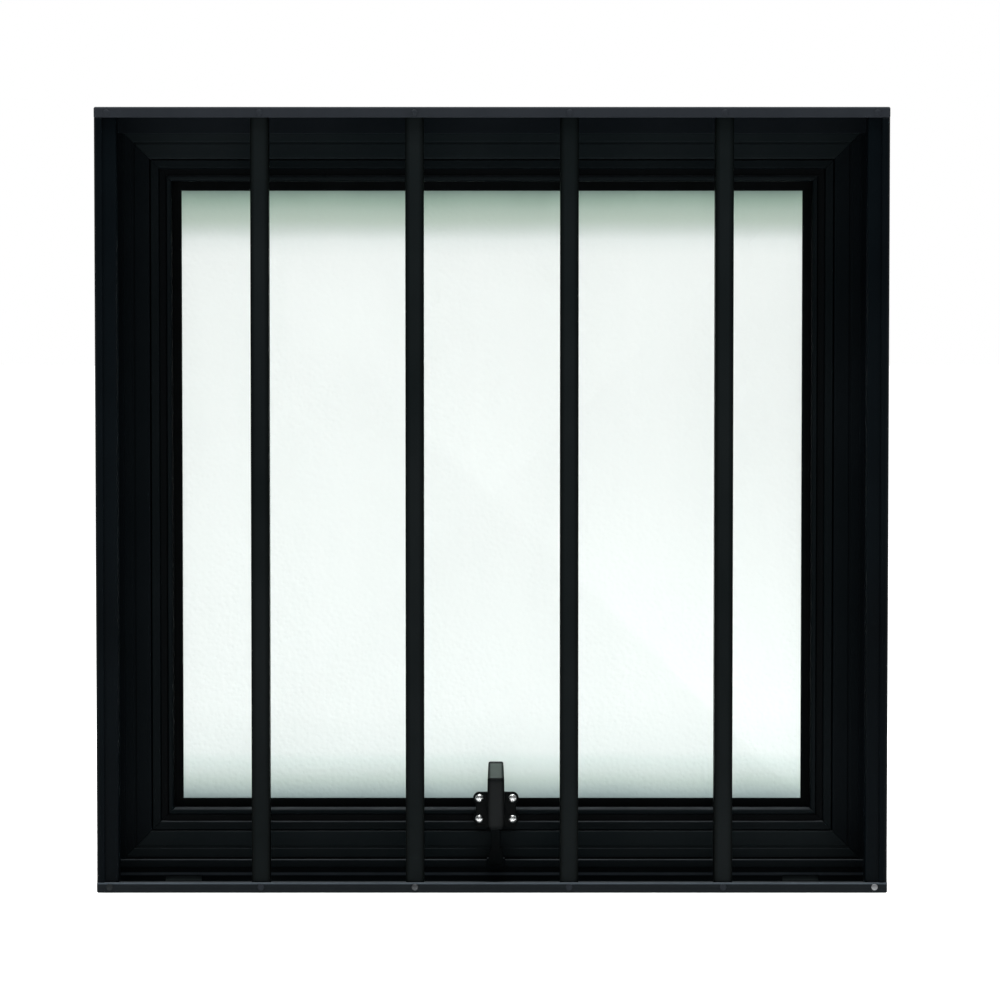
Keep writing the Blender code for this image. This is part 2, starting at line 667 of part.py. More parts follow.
def make_glazing():
    """The pane between its two gaskets."""
    origin = at(0, 0, 0)
    return [
        plate("glass_pane", "obscured_glass", origin, "Y", inset_rectangle(GLASS_INSET), [],
              GLASS_FRONT, GLASS_BACK),
        plate("glazing_gasket_inner", "black_rubber", origin, "Y",
              inset_rectangle(GLASS_INSET + 0.002), [inset_rectangle(DAYLIGHT)],
              GASKET_FRONT, GASKET_BACK),
        plate("glazing_gasket_outer", "black_rubber", origin, "Y",
              inset_rectangle(GLASS_INSET + 0.001), [inset_rectangle(BEAD_OUT + 0.0026)],
              GLASS_BACK + GAP, LEDGE_FRONT - GAP),
    ]


# ================================================================ stays
def stay_faces(hand, first, second):
    """Two faces across the window, given as insets from the jamb's outer face."""
    return sorted((hand * (HALF_WIDTH - first), hand * (HALF_WIDTH - second)))


def stud_object(name, matrix_x, faces, radius):
    """A round stud along X between two faces, about a pivot on the stay's line."""
    y, z = matrix_x
    place = Matrix.Translation((0, FRONT_Y, 0)) @ PLATE_AXES["X"]
    return pegs(name, place, [(y, z, radius)], *faces, steps=14)


def make_track(side, hand):
    """A channel with turned-in lips on the jamb, with the arm's fixed pivot in it."""
    name = "stay_track_" + side
    half = TRACK_WIDTH / 2
    wall = TRACK_BASE
    slot = TRACK_SLOT / 2
    profile = [(TRACK_IN, -half), (LIP_OUT, -half), (LIP_OUT, -slot), (LIP_IN, -slot),
               (LIP_IN, wall - half), (TRACK_FLOOR, wall - half), (TRACK_FLOOR, half - wall),
               (LIP_IN, half - wall), (LIP_IN, slot), (LIP_OUT, slot), (LIP_OUT, half),
               (TRACK_IN, half)]
    low = FRAME_PIVOT_Z - TRACK_TAIL
    high = UNIT_HEIGHT - WEB - 2 * GAP
    outline = [(hand * (HALF_WIDTH - inset), STAY_DEPTH + y) for inset, y in profile]
    mesh = prism_mesh(name, outline, [], low, high)
    track = mesh_object(name, mesh, Matrix.Translation((0, FRONT_Y, 0)), "stainless")
    spot = (STAY_DEPTH, FRAME_PIVOT_Z)
    boss = stay_faces(hand, TRACK_FLOOR - TRACK_BASE / 2, ARM_IN - GAP)
    stud = stay_faces(hand, TRACK_FLOOR, SASH_BAR_IN - GAP)
    boolean(track, stud_object(name + "_boss", spot, boss, PIVOT_BOSS / 2), "UNION")
    boolean(track, stud_object(name + "_stud", spot, stud, PIVOT_STUD / 2), "UNION")


def make_arm(side, hand):
    origin = at(0, STAY_DEPTH, FRAME_PIVOT_Z)
    hole = PIVOT_STUD / 2 + GAP
    holes = [circle(hole, steps=14), circle(hole, (0, ARM_LENGTH), 14)]
    return plate("stay_arm_" + side, "stainless", origin, "X", stadium(ARM_LENGTH, ARM_WIDTH),
                 holes, *stay_faces(hand, ARM_IN, ARM_OUT))


def make_sash_bar(side, hand):
    """The bar on the sash's edge, pivoted on the arm and, at its top, on the shoe."""
    name = "stay_sash_bar_" + side
    origin = at(0, STAY_DEPTH, SASH_PIVOT_Z)
    half = ARM_WIDTH / 2
    outline = [*arc((0, ARM_LENGTH), half, 0, 180, 8), *rectangle(-half, half, -SASH_BAR_TAIL, 0)[:2]]
    hole = circle(PIVOT_STUD / 2 + GAP, (0, ARM_LENGTH), 14)
    bar = plate(name, "stainless", origin, "X", outline, [hole],
                *stay_faces(hand, SASH_BAR_IN, SASH_BAR_OUT))
    stud = stay_faces(hand, ARM_IN, SASH_BAR_IN + SASH_BAR_THICKNESS / 2)
    spot = (STAY_DEPTH, SASH_PIVOT_Z)
    boolean(bar, stud_object(name + "_stud", spot, stud, PIVOT_STUD / 2), "UNION")
    return bar


def make_shoe(side, hand):
    """The friction shoe in the track, with the stud that the sash bar turns on."""
    name = "stay_shoe_" + side
    half = TRACK_WIDTH / 2 - TRACK_BASE - GAP
    outline = round_box(-half, half, PIVOT_BOSS / 2 + 0.001 - SHOE_LENGTH, PIVOT_BOSS / 2 + 0.001,
                        0.001)
    origin = at(0, STAY_DEPTH, SHOE_Z)
    shoe = plate(name, "black_plastic", origin, "X", outline, [], *stay_faces(hand, SHOE_IN, SHOE_OUT))
    spot = (STAY_DEPTH, SHOE_Z)
    boss = stay_faces(hand, SHOE_OUT - SHOE_THICKNESS / 2, SASH_BAR_IN - GAP)
    stud = stay_faces(hand, SHOE_OUT, SASH_BAR_OUT)
    boolean(shoe, stud_object(name + "_boss", spot, boss, PIVOT_BOSS / 2), "UNION")
    boolean(shoe, stud_object(name + "_stud", spot, stud, PIVOT_STUD / 2), "UNION")
    return shoe


# ================================================================ latch
def latch_screw_columns():
    return (LATCH_X - LATCH_SCREW_X, LATCH_X + LATCH_SCREW_X)


def latch_screw_holes(slack):
    """Places and radius of the four screws about the latch's pivot."""
    radius = LATCH_SCREW_SHANK / 2 + slack
    return [(x, z, radius) for x in (-LATCH_SCREW_X, LATCH_SCREW_X)
            for z in (-LATCH_SCREW_Z, LATCH_SCREW_Z)]


def base_outline():
    """A body with two ears a side and a waist between them, symmetric left and right."""
    body = 0.0078
    top, bottom = LATCH_SCREW_Z + EAR_RADIUS, -(LATCH_SCREW_Z + EAR_RADIUS + 0.0025)
    ear = (LATCH_SCREW_X, LATCH_SCREW_Z)
    low_ear = (LATCH_SCREW_X, -LATCH_SCREW_Z)
    right = [(body * 0.7, bottom), (body, bottom + 0.002),
             *arc(low_ear, EAR_RADIUS, -110, 55, 8), *arc(ear, EAR_RADIUS, -55, 100, 8),
             (body, top)]
    return right + [(-x, z) for x, z in reversed(right)]


def make_latch_base():
    """The mounting plate on the glazing bead, and the latch's base on it."""
    origin = at(LATCH_X, 0, LATCH_Z)
    wide = LATCH_SCREW_X + EAR_RADIUS - 0.002
    outline = round_box(-wide, wide, -LATCH_SCREW_Z - EAR_RADIUS - 0.002, LATCH_SCREW_Z + EAR_RADIUS
                        - 0.0008, 0.002)
    holes = [circle(radius, (x, z), 10) for x, z, radius in latch_screw_holes(GAP)]
    holes.append(circle(SPINDLE_HEAD / 2 + 2 * GAP))
    back = plate("latch_mounting_plate", "coated_metal", origin, "Y", outline, holes,
                 BACKPLATE_FRONT, BACKPLATE_BACK)
    holes[-1] = circle(SPINDLE / 2 + GAP)
    base = plate("latch_base", "latch_casting", origin, "Y", base_outline(), holes[:-1],
                 BASE_FRONT, BASE_BACK)
    local = Matrix.Translation(origin) @ PLATE_AXES["Y"]
    boss = prism_mesh("base_boss", circle(BASE_BOSS / 2, steps=20), [], -BASE_FRONT - 0.001,
                      -BOSS_FRONT)
    boolean(base, tool_object("base_boss", boss, local), "UNION")
    spindle_hole = pegs("base_spindle_hole", local, [(0, 0, SPINDLE / 2 + GAP)],
                        -BASE_BACK - 0.001, -BOSS_FRONT + 0.001, 14)
    boolean(base, spindle_hole, "DIFFERENCE")
    return [back, base]


def make_latch_screws():
    """Dome-headed screws: the lower two reach the bead, the upper two end in the plate."""
    head, shank = LATCH_SCREW_HEAD / 2, LATCH_SCREW_SHANK / 2
    rim = 0.0004
    dome = [(head * math.sin(math.radians(a)), rim + (LATCH_SCREW_DOME - rim) * math.cos(math.radians(a)))
            for a in (0, 25, 50, 72, 90)]
    screws = []
    for number, (x, z, _) in enumerate(latch_screw_holes(0)):
        reach = (BEAD_FRONT + 0.004 if z < 0 else BACKPLATE_BACK) - BASE_FRONT + GAP
        profile = [*dome, (head, 0), (shank, 0), (shank, -reach), (0, -reach)]
        name = f"latch_screw_{number + 1}"
        place = Matrix.Translation(at(LATCH_X + x, BASE_FRONT - GAP, LATCH_Z + z)) @ TOWARDS_ROOM
        screws.append(mesh_object(name, turned(name, profile, 12), place, "bright_screw"))
    return screws


def make_latch_handle():
    """The lever, its tongue behind it and the spindle that joins them."""
    origin = at(LATCH_X, 0, LATCH_Z)
    side_view = [(HUB_BACK, -0.0100), (HUB_BACK, 0.0090), (HUB_BACK - 0.0012, 0.0120),
                 (HUB_BACK - 0.0012, HANDLE_REACH - 0.0006), (HUB_FRONT + 0.0016, HANDLE_REACH),
                 (HUB_FRONT - 0.0034, HANDLE_REACH - 0.0122), (HUB_FRONT - 0.0030, HANDLE_REACH - 0.0130),
                 (HUB_FRONT, HANDLE_REACH - 0.0155), (HUB_FRONT, -HANDLE_TAIL + 0.0028),
                 (HUB_FRONT + 0.0018, -HANDLE_TAIL), (HUB_BACK - 0.0010, -HANDLE_TAIL)]
    half = HANDLE_WIDTH / 2
    handle = plate("latch_handle", "latch_casting", origin, "X", side_view, [], -half, half)
    for vertex in handle.data.vertices:
        lift = max(0.0, vertex.co.y - 0.009) / HANDLE_REACH
        vertex.co.z *= 1 - 0.18 * lift
    bevel = handle.modifiers.new("bevel", "BEVEL")
    bevel.width = 0.0009
    bevel.segments = 2
    bevel.limit_method = "ANGLE"
    local = Matrix.Translation(origin) @ PLATE_AXES["Y"]
    socket = pegs("handle_socket", local, [(0, 0, SPINDLE / 2 + GAP)], -HUB_BACK - 0.001,
                  -HUB_FRONT - 0.0016, 14)
    boolean(handle, socket, "DIFFERENCE")

    keeper_top = SILL_STOP_HEIGHT + GAP + KEEPER_WALL / 2
    end = keeper_top - TONGUE_OVERLAP - LATCH_Z
    neck, head = TONGUE_NECK / 2, TONGUE_HEAD / 2
    shoulder = end + TONGUE_HEAD_HEIGHT
    hub = 0.0075
    right = [(head - 0.001, end), (head, end + 0.001), (head, shoulder - 0.002), (neck, shoulder),
             (neck, -hub * 1.2), *arc((0, 0), hub, -60, 90, 7)]
    outline = right + [(-x, z) for x, z in reversed(right[:-1])]
    tongue = plate("latch_tongue", "latch_casting", origin, "Y", outline,
                   [circle(SPINDLE / 2 + GAP, steps=14)], TONGUE_FRONT, TONGUE_BACK)

    front = HUB_FRONT + 0.0016 + 2 * GAP
    head_front, head_back = BASE_BACK + GAP, BACKPLATE_BACK - 2 * GAP
    profile = [(0, -front), (SPINDLE / 2, -front), (SPINDLE / 2, -head_front),
               (SPINDLE_HEAD / 2, -head_front), (SPINDLE_HEAD / 2, -head_back), (0, -head_back)]
    spindle = mesh_object("latch_spindle", turned("latch_spindle", profile, 14),
                          Matrix.Translation(origin) @ TOWARDS_ROOM, "screw_steel")
    return [handle, tongue, spindle]


def make_keeper():
    """A cap over the sill's stop that the tongue bears on."""
    inner = STOP_FRONT - NOSING_DEPTH - GAP
    top = SILL_STOP_HEIGHT + GAP
    outer = inner - KEEPER_WALL
    side_view = [(outer, top - KEEPER_DROP), (inner, top - KEEPER_DROP), (inner, top),
                 (STOP_BACK - GAP, top), (STOP_BACK - GAP, top + KEEPER_WALL / 2),
                 (outer + 0.0008, top + KEEPER_WALL / 2), (outer, top + KEEPER_WALL / 2 - 0.0008)]
    half = KEEPER_WIDTH / 2
    plate("latch_keeper", "coated_metal", at(LATCH_X, 0, 0), "X", side_view, [], -half, half)


# ================================================================ assembly
def make_window():
    make_head()
    make_sill()
    make_jamb("left")
    make_jamb("right")
    make_corner_screws()
    make_frame_gasket()
    make_bars()
    make_keeper()

    sash = pivot("sash_axis", at(0, STAY_DEPTH, SASH_PIVOT_Z))
    carry(sash, *make_sash_rails(), *make_corner_cleats(), *make_glazing_beads(), *make_glazing())
    carry(sash, *make_latch_base(), *make_latch_screws())
    for side, hand in (("left", -1), ("right", 1)):
        make_track(side, hand)
        make_arm(side, hand)
        shoe = make_shoe(side, hand)
        carry(sash, make_sash_bar(side, hand), shoe)
    latch = pivot("latch_axis", at(LATCH_X, HUB_BACK, LATCH_Z))
    carry(latch, *make_latch_handle())
    carry(sash, latch)


clear_scene()
WINDOW = new_collection("security_window")
CUTTERS = new_collection("cutters")
LOOKS = {
    "coated_metal": make_material("coated_metal", (0.010, 0.013, 0.015), 0.38, 0.0),
    "black_rubber": make_material("black_rubber", (0.008, 0.009, 0.009), 0.75, 0.0),
    "raw_aluminium": make_material("raw_aluminium", (0.72, 0.73, 0.74), 0.42, 1.0),
    "obscured_glass": make_material("obscured_glass", (0.86, 0.95, 0.92), 0.35, 0.0),
    "stainless": make_material("stainless", (0.55, 0.55, 0.54), 0.33, 1.0),
    "screw_steel": make_material("screw_steel", (0.50, 0.50, 0.51), 0.35, 1.0),
    "bright_screw": make_material("bright_screw", (0.88, 0.89, 0.90), 0.22, 1.0),
    "rivet_metal": make_material("rivet_metal", (0.62, 0.63, 0.64), 0.40, 1.0),
    "latch_casting": make_material("latch_casting", (0.018, 0.020, 0.021), 0.42, 0.0),
    "black_plastic": make_material("black_plastic", (0.012, 0.012, 0.012), 0.55, 0.0),
}
make_window()
bpy.context.view_layer.update()
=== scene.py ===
"""Top-hung window with a grille of security bars: the finished look of every piece.

Metres, +Z up, the room is on the -Y side. A section is a list of (inset, depth) points:
inset is how far a point lies inwards from the outer edge of the frame or of the sash,
depth how far it lies behind the front plane of the frame.
"""

import math

import bmesh
import bpy
import numpy as np
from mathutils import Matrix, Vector


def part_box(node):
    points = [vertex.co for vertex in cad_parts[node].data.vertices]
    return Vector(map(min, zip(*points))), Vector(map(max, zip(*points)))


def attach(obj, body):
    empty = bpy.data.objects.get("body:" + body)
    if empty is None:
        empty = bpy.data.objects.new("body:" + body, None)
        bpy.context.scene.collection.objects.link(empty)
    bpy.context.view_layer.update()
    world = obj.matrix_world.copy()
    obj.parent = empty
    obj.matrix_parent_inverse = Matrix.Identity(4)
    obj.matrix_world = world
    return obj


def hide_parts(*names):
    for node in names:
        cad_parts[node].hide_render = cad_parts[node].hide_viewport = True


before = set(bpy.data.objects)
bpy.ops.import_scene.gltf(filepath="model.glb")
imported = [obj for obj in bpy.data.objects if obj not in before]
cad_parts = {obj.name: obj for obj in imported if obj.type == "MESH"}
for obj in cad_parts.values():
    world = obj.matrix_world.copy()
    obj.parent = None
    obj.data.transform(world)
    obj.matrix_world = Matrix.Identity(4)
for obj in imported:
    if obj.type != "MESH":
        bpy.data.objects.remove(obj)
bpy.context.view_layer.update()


# ================================================================ places, from the frame
def span(node, axis):
    """Lowest and highest place of a CAD node along x, y or z."""
    low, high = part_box(node)
    return getattr(low, axis), getattr(high, axis)


LEFT, RIGHT = span("frame_head", "x")
FRONT = span("frame_head", "y")[0]
SILL_FACE = span("frame_sill", "z")[0]
HEAD_FACE = span("frame_head", "z")[1]
FRAME_EDGE = (LEFT, RIGHT, SILL_FACE, HEAD_FACE)
SASH_EDGE = (*span("sash_top_rail", "x"), span("sash_bottom_rail", "z")[0],
             span("sash_top_rail", "z")[1])
SASH_FACE, SASH_BACK = [y - FRONT for y in span("sash_top_rail", "y")]
GAP = 0.0003

# sizes of the frame's sections
WEB = 0.002
LIP = 0.008
JAMB_LIP = 0.006
JAMB_NOSE = 0.0035
STOP = 0.0175
SILL_STOP = 0.019
STOP_FRONT, STOP_BACK = 0.0500, 0.0520
NOSING_DEPTH = 0.0018
NOSING_HEIGHT = 0.006
DRAIN_TOP = 0.0071
DRAIN_WIDTH = 0.028
DRAIN_MIDDLE = 0.238
FLAP_COVER = 0.001
# height of the painted highlight line on the sill's stop
HIGHLIGHT_LINE_HEIGHT = 0.0078
LUG_SIZE = 0.008
LUG_BACK = 0.0479
FRAME_DEPTH = 0.085
WALL_HOLE_RADIUS = 0.0026
RIVET_HEAD, RIVET_SHANK = 0.0025, 0.0014
WALL_HOLE_DEPTH = 0.36 * FRAME_DEPTH
WALL_HOLE_INSET = 0.100

# sizes of the sash's sections
SASH_BOX = 0.0254
BEAD_IN = 0.0262
BEAD_OUT = 0.0425
DAYLIGHT = 0.0492


# ================================================================ outlines
def unit(vectors):
    return vectors / np.linalg.norm(vectors, axis=-1, keepdims=True)


def rounded(corners, radii=0.0004, steps=4, rest=0.0001):
    """Closed outline through corners, each turned into an arc of its radius.

    The arc's middle lies on the corner's bisector, radius / sin(half angle) from the corner,
    and the arc sweeps from one tangent point to the other. A short rest on each side of it
    keeps the flat stretches flat when they are shaded.
    """
    here = np.asarray(corners, float)
    radius = np.broadcast_to(np.asarray(radii, float), len(here))[:, None]
    back = unit(np.roll(here, 1, 0) - here)
    ahead = unit(np.roll(here, -1, 0) - here)
    half = np.arccos(np.clip((back * ahead).sum(1), -1, 1))[:, None] / 2
    reach = radius / np.tan(half)
    middle = here + unit(back + ahead) * radius / np.sin(half)
    start, end = here + back * reach - middle, here + ahead * reach - middle
    sweep = np.arctan2(start[:, 0] * end[:, 1] - start[:, 1] * end[:, 0], (start * end).sum(1))
    turn = sweep[:, None] * np.linspace(0, 1, steps + 1)
    cosine, sine = np.cos(turn), np.sin(turn)
    arcs = np.stack([middle[:, :1] + start[:, :1] * cosine - start[:, 1:] * sine,
                     middle[:, 1:] + start[:, :1] * sine + start[:, 1:] * cosine], -1)
    before = (here + back * (reach + rest))[:, None]
    after = (here + ahead * (reach + rest))[:, None]
    return np.concatenate([before, arcs, after], 1).reshape(-1, 2)


def box_corners(low_u, high_u, low_v, high_v):
    return [(low_u, low_v), (high_u, low_v), (high_u, high_v), (low_u, high_v)]


def arc(centre, radius, start, end, steps=10):
    """Points centre + radius (cos a, sin a) for angles a from start to end, in degrees."""
    angle = np.radians(np.linspace(start, end, steps + 1))
    return np.stack([centre[0] + radius * np.cos(angle), centre[1] + radius * np.sin(angle)], 1)


def area_sign(outline):
    following = np.roll(outline, -1, 0)
    return np.sign((outline[:, 0] * following[:, 1] - outline[:, 1] * following[:, 0]).sum())


def shrunk(outline, amount):
    """The outline drawn in: each point moves along the mean of its two edges' inward normals."""
    edge = unit(np.roll(outline, -1, 0) - outline)
    normal = np.stack([-edge[:, 1], edge[:, 0]], 1) * area_sign(outline)
    mean = normal + np.roll(normal, 1, 0)
    scale = 2 / np.maximum((mean ** 2).sum(1, keepdims=True), 0.5)
    return outline + mean * scale * amount


# ================================================================ shells
def shell(grid, closed_path=False):
    """Faces between neighbouring points of grid[station, round the section].

    Every section closes on itself. A closed path joins the last station to the first;
    otherwise one flat face closes each end.
    """
    stations, around = grid.shape[:2]
    index = np.arange(stations * around).reshape(stations, around)
    index = np.concatenate([index, index[:, :1]], 1)
    if closed_path:
        index = np.concatenate([index, index[:1]], 0)
    quads = np.stack([index[:-1, :-1], index[1:, :-1], index[1:, 1:], index[:-1, 1:]], -1)
    faces = quads.reshape(-1, 4).tolist()
    if not closed_path:
        faces += [index[0, :-1].tolist(), index[-1, -2::-1].tolist()]
    return grid.reshape(-1, 3), faces


def carried(outline, stations, amount=0.00015):
    """Sections of an outline at stations of a path, drawn in a little at both ends.

    Returns the sections and the places, so that the ends have a fine bevel.
    """
    low, high = stations[0], stations[-1]
    places = np.concatenate([[low], [low + amount], stations[1:-1], [high - amount], [high]])
    sections = np.repeat(outline[None], len(places), 0)
    sections[0] = sections[-1] = shrunk(outline, amount)
    return sections, places


def member(section, edge, side, trim=0.0, mitred=False, stretch=None, bevel=0.00015):
    """A section carried along one side of a rectangular edge.

    A point (inset, depth) lies inset inwards from the edge and depth behind the front.
    The path runs from one corner to the other, less the trim and, on a mitre, less the
    point's own inset, or over a given stretch of the path.
    """
    left, right, low, high = edge
    ends = (left, right) if side in ("top", "bottom") else (low, high)
    start, finish = stretch or (ends[0] + trim, ends[1] - trim)
    sections, places = carried(section, np.linspace(start, finish, 7),
                               0.0004 if mitred else bevel)
    inset, depth = sections[..., 0], sections[..., 1]
    along = np.repeat(places[:, None], section.shape[0], 1)
    if mitred:
        share = (along - start) / (finish - start)
        along = along + inset * (1 - 2 * share)
    y = FRONT + depth
    if side == "top":
        return shell(np.stack([along, y, high - inset], -1))
    if side == "bottom":
        return shell(np.stack([along, y, low + inset], -1))
    if side == "left":
        return shell(np.stack([left + inset, y, along], -1))
    return shell(np.stack([right - inset, y, along], -1))


def ring(section, edge):
    """A section carried round all four sides of a rectangular edge, mitred at its corners."""
    left, right, low, high = edge
    inset, depth = section[:, 0], section[:, 1]
    y = FRONT + depth
    corners = [(left + inset, low + inset), (right - inset, low + inset),
               (right - inset, high - inset), (left + inset, high - inset)]
    return shell(np.stack([np.stack([x, y, z], -1) for x, z in corners]), closed_path=True)


AXES = {"X": (2, 0, 1), "Y": (0, 2, 1), "Z": (0, 1, 2)}


def slab(outline, low, high, axis, edge=0.0003, steps=3, centre=(0, 0, 0)):
    """A flat piece between two heights along an axis, with its rims rounded.

    At an angle a of the rim the outline is drawn in by edge (1 - sin a) and lies
    edge (1 - cos a) from the face. u and v of the outline are the other two axes in order.
    """
    angle = np.linspace(0, np.pi / 2, steps + 1)
    inward = edge * (1 - np.sin(angle))
    rise = edge * (1 - np.cos(angle))
    inward = np.concatenate([inward, inward[::-1]])
    heights = np.concatenate([low + rise, high - rise[::-1]])
    rings = np.stack([shrunk(outline, amount) for amount in inward])
    tall = np.repeat(heights[:, None], outline.shape[0], 1)
    parts = [rings[..., 0], rings[..., 1], tall]
    order = AXES[axis]
    grid = np.stack([parts[order[0]], parts[order[1]], parts[order[2]]], -1)
    return shell(grid + np.asarray(centre))


def turned(profile, axis, centre, steps=32):
    """A profile of (radius, height) points spun about an axis through centre."""
    profile = np.asarray(profile, float)
    angle = np.linspace(0, 2 * np.pi, steps, endpoint=False)
    u = profile[:, :1] * np.cos(angle)
    v = profile[:, :1] * np.sin(angle)
    tall = np.repeat(profile[:, 1:], steps, 1)
    parts = [u, v, tall]
    order = AXES[axis]
    grid = np.stack([parts[order[0]], parts[order[1]], parts[order[2]]], -1)
    return shell(grid + np.asarray(centre))


def crossed_head(radius, rim, crown, centre, axis="Y", sign=-1.0, slot=0.16, deep=0.0011):
    """A domed head with a cross recess: height is a function of distance r and angle a.

    height = rim + (crown - rim) sqrt(1 - r^2) - deep * cross(r, a), where the cross is 1
    within slot of either arm's middle line and fades out towards 0.62 of the radius.
    """
    share = np.concatenate([np.linspace(0.02, 0.7, 16), np.sin(np.linspace(0.78, np.pi / 2, 8))])
    angle = np.linspace(0, 2 * np.pi, 96, endpoint=False)
    x, z = share[:, None] * np.cos(angle), share[:, None] * np.sin(angle)
    near = np.minimum(np.abs(x), np.abs(z))
    wall = np.clip((slot - near) / 0.05, 0, 1)
    reach = np.clip((0.62 - share[:, None]) / 0.10, 0, 1)
    height = rim + (crown - rim) * np.sqrt(1 - share[:, None] ** 2) - deep * wall * reach
    rows = [np.stack([x * radius, z * radius, height], -1)]
    rows.append(np.stack([x[-1:] * radius, z[-1:] * radius, np.zeros((1, 96))], -1))
    grid = np.concatenate(rows)
    parts = [grid[..., 0], grid[..., 1], sign * grid[..., 2]]
    order = AXES[axis]
    return shell(np.stack([parts[order[0]], parts[order[1]], parts[order[2]]], -1)
                 + np.asarray(centre))


def piece(name, shells, body, finish, slot, *nodes, sharp=32):
    """One object made of shells, in place, riding on its body and standing for its nodes."""
    points, faces, count = [], [], 0
    for part_points, part_faces in shells:
        points.append(part_points)
        faces += [[corner + count for corner in face] for face in part_faces]
        count += len(part_points)
    mesh = bpy.data.meshes.new(name)
    mesh.from_pydata(np.concatenate(points).tolist(), [], faces)
    form = bmesh.new()
    form.from_mesh(mesh)
    bmesh.ops.recalc_face_normals(form, faces=form.faces)
    form.to_mesh(mesh)
    form.free()
    mesh.shade_smooth()
    mesh.set_sharp_from_angle(angle=math.radians(sharp))
    mesh.materials.append(finish)
    obj = bpy.data.objects.new(name, mesh)
    bpy.context.scene.collection.objects.link(obj)
    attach(obj, body)
    if nodes:
        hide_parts(*nodes)
    return obj


# ================================================================ finishes
class Field:
    """A number that changes over a surface, with Python's operators as Math nodes."""

    def __init__(self, tree, socket):
        self.tree = tree
        self.socket = socket

    def math(self, operation, first, second=None):
        node = self.tree.nodes.new("ShaderNodeMath")
        node.operation = operation
        for slot, term in zip(node.inputs, (first, second)):
            if isinstance(term, Field):
                self.tree.links.new(term.socket, slot)
            elif term is not None:
                slot.default_value = term
        return Field(self.tree, node.outputs[0])

    def __add__(self, other):
        return self.math("ADD", self, other)

    def __radd__(self, other):
        return self.math("ADD", other, self)

    def __sub__(self, other):
        return self.math("SUBTRACT", self, other)

    def __rsub__(self, other):
        return self.math("SUBTRACT", other, self)

    def __mul__(self, other):
        return self.math("MULTIPLY", self, other)

    def __rmul__(self, other):
        return self.math("MULTIPLY", other, self)

    def __truediv__(self, other):
        return self.math("DIVIDE", self, other)

    def size(self):
        return self.math("ABSOLUTE", self)

    def rounded(self):
        return self.math("ROUND", self)

    def clamped(self):
        return self.math("MAXIMUM", self.math("MINIMUM", self, 1.0), 0.0)

    def above(self, low, high):
        """0 at low and below, 1 at high and above, and a straight ramp between."""
        return ((self - low) / (high - low)).clamped()


class Finish:
    """A material: one Principled shader, and the nodes that vary it over the surface."""

    def __init__(self, name, **constants):
        self.material = bpy.data.materials.new(name)
        self.material.use_nodes = True
        self.tree = self.material.node_tree
        self.shader = self.tree.nodes["Principled BSDF"]
        for socket, value in constants.items():
            self.shader.inputs[socket.replace("_", " ")].default_value = value
        self.place = self.node("ShaderNodeTexCoord").outputs["Object"]

    def node(self, kind, settings=None, **links):
        """A node of a kind: its settings first, then the values or links of its sockets."""
        node = self.tree.nodes.new(kind)
        for key, value in (settings or {}).items():
            setattr(node, key, value)
        for key, value in links.items():
            socket = node.inputs[key.replace("_", " ")]
            value = value.socket if isinstance(value, Field) else value
            if isinstance(value, bpy.types.NodeSocket):
                self.tree.links.new(value, socket)
            else:
                socket.default_value = value
        return node

    def stretched(self, scale):
        """Object coordinates, multiplied axis by axis."""
        return self.node("ShaderNodeMapping", None, Vector=self.place, Scale=scale).outputs[0]

    def noise(self, scale, detail=2.0, vector=None, roughness=0.5):
        node = self.node("ShaderNodeTexNoise", None, Vector=vector or self.place, Scale=scale,
                         Detail=detail, Roughness=roughness)
        return Field(self.tree, node.outputs[0])

    def cells(self, scale, vector=None, feature="F1"):
        node = self.node("ShaderNodeTexVoronoi", {"feature": feature}, Vector=vector or self.place,
                         Scale=scale)
        return Field(self.tree, node.outputs["Distance"])

    def axis(self, which, socket=None):
        node = self.node("ShaderNodeSeparateXYZ", None, Vector=socket or self.place)
        return Field(self.tree, node.outputs["XYZ".index(which)])

    def facing_up(self):
        """1 where the surface looks up, from its own normal."""
        normal = self.node("ShaderNodeTexCoord").outputs["Normal"]
        return self.axis("Z", normal).above(0.55, 0.95)

    def blend(self, share, first, second):
        """A colour between two: share 0 gives the first, 1 the second."""
        node = self.tree.nodes.new("ShaderNodeMix")
        node.data_type = "RGBA"
        for name, value in (("Factor_Float", share), ("A_Color", first), ("B_Color", second)):
            socket = next(s for s in node.inputs if s.identifier == name)
            if isinstance(value, Field):
                self.tree.links.new(value.socket, socket)
            elif isinstance(value, bpy.types.NodeSocket):
                self.tree.links.new(value, socket)
            else:
                socket.default_value = value if isinstance(value, float) else (*value, 1.0)
        return next(s for s in node.outputs if s.identifier == "Result_Color")

    def set(self, **fields):
        for name, value in fields.items():
            socket = value.socket if isinstance(value, Field) else value
            self.tree.links.new(socket, self.shader.inputs[name.replace("_", " ")])
        return self

    def bump(self, height, strength, distance):
        node = self.node("ShaderNodeBump", None, Height=height, Strength=strength,
                         Distance=distance)
        return self.set(Normal=node.outputs["Normal"])


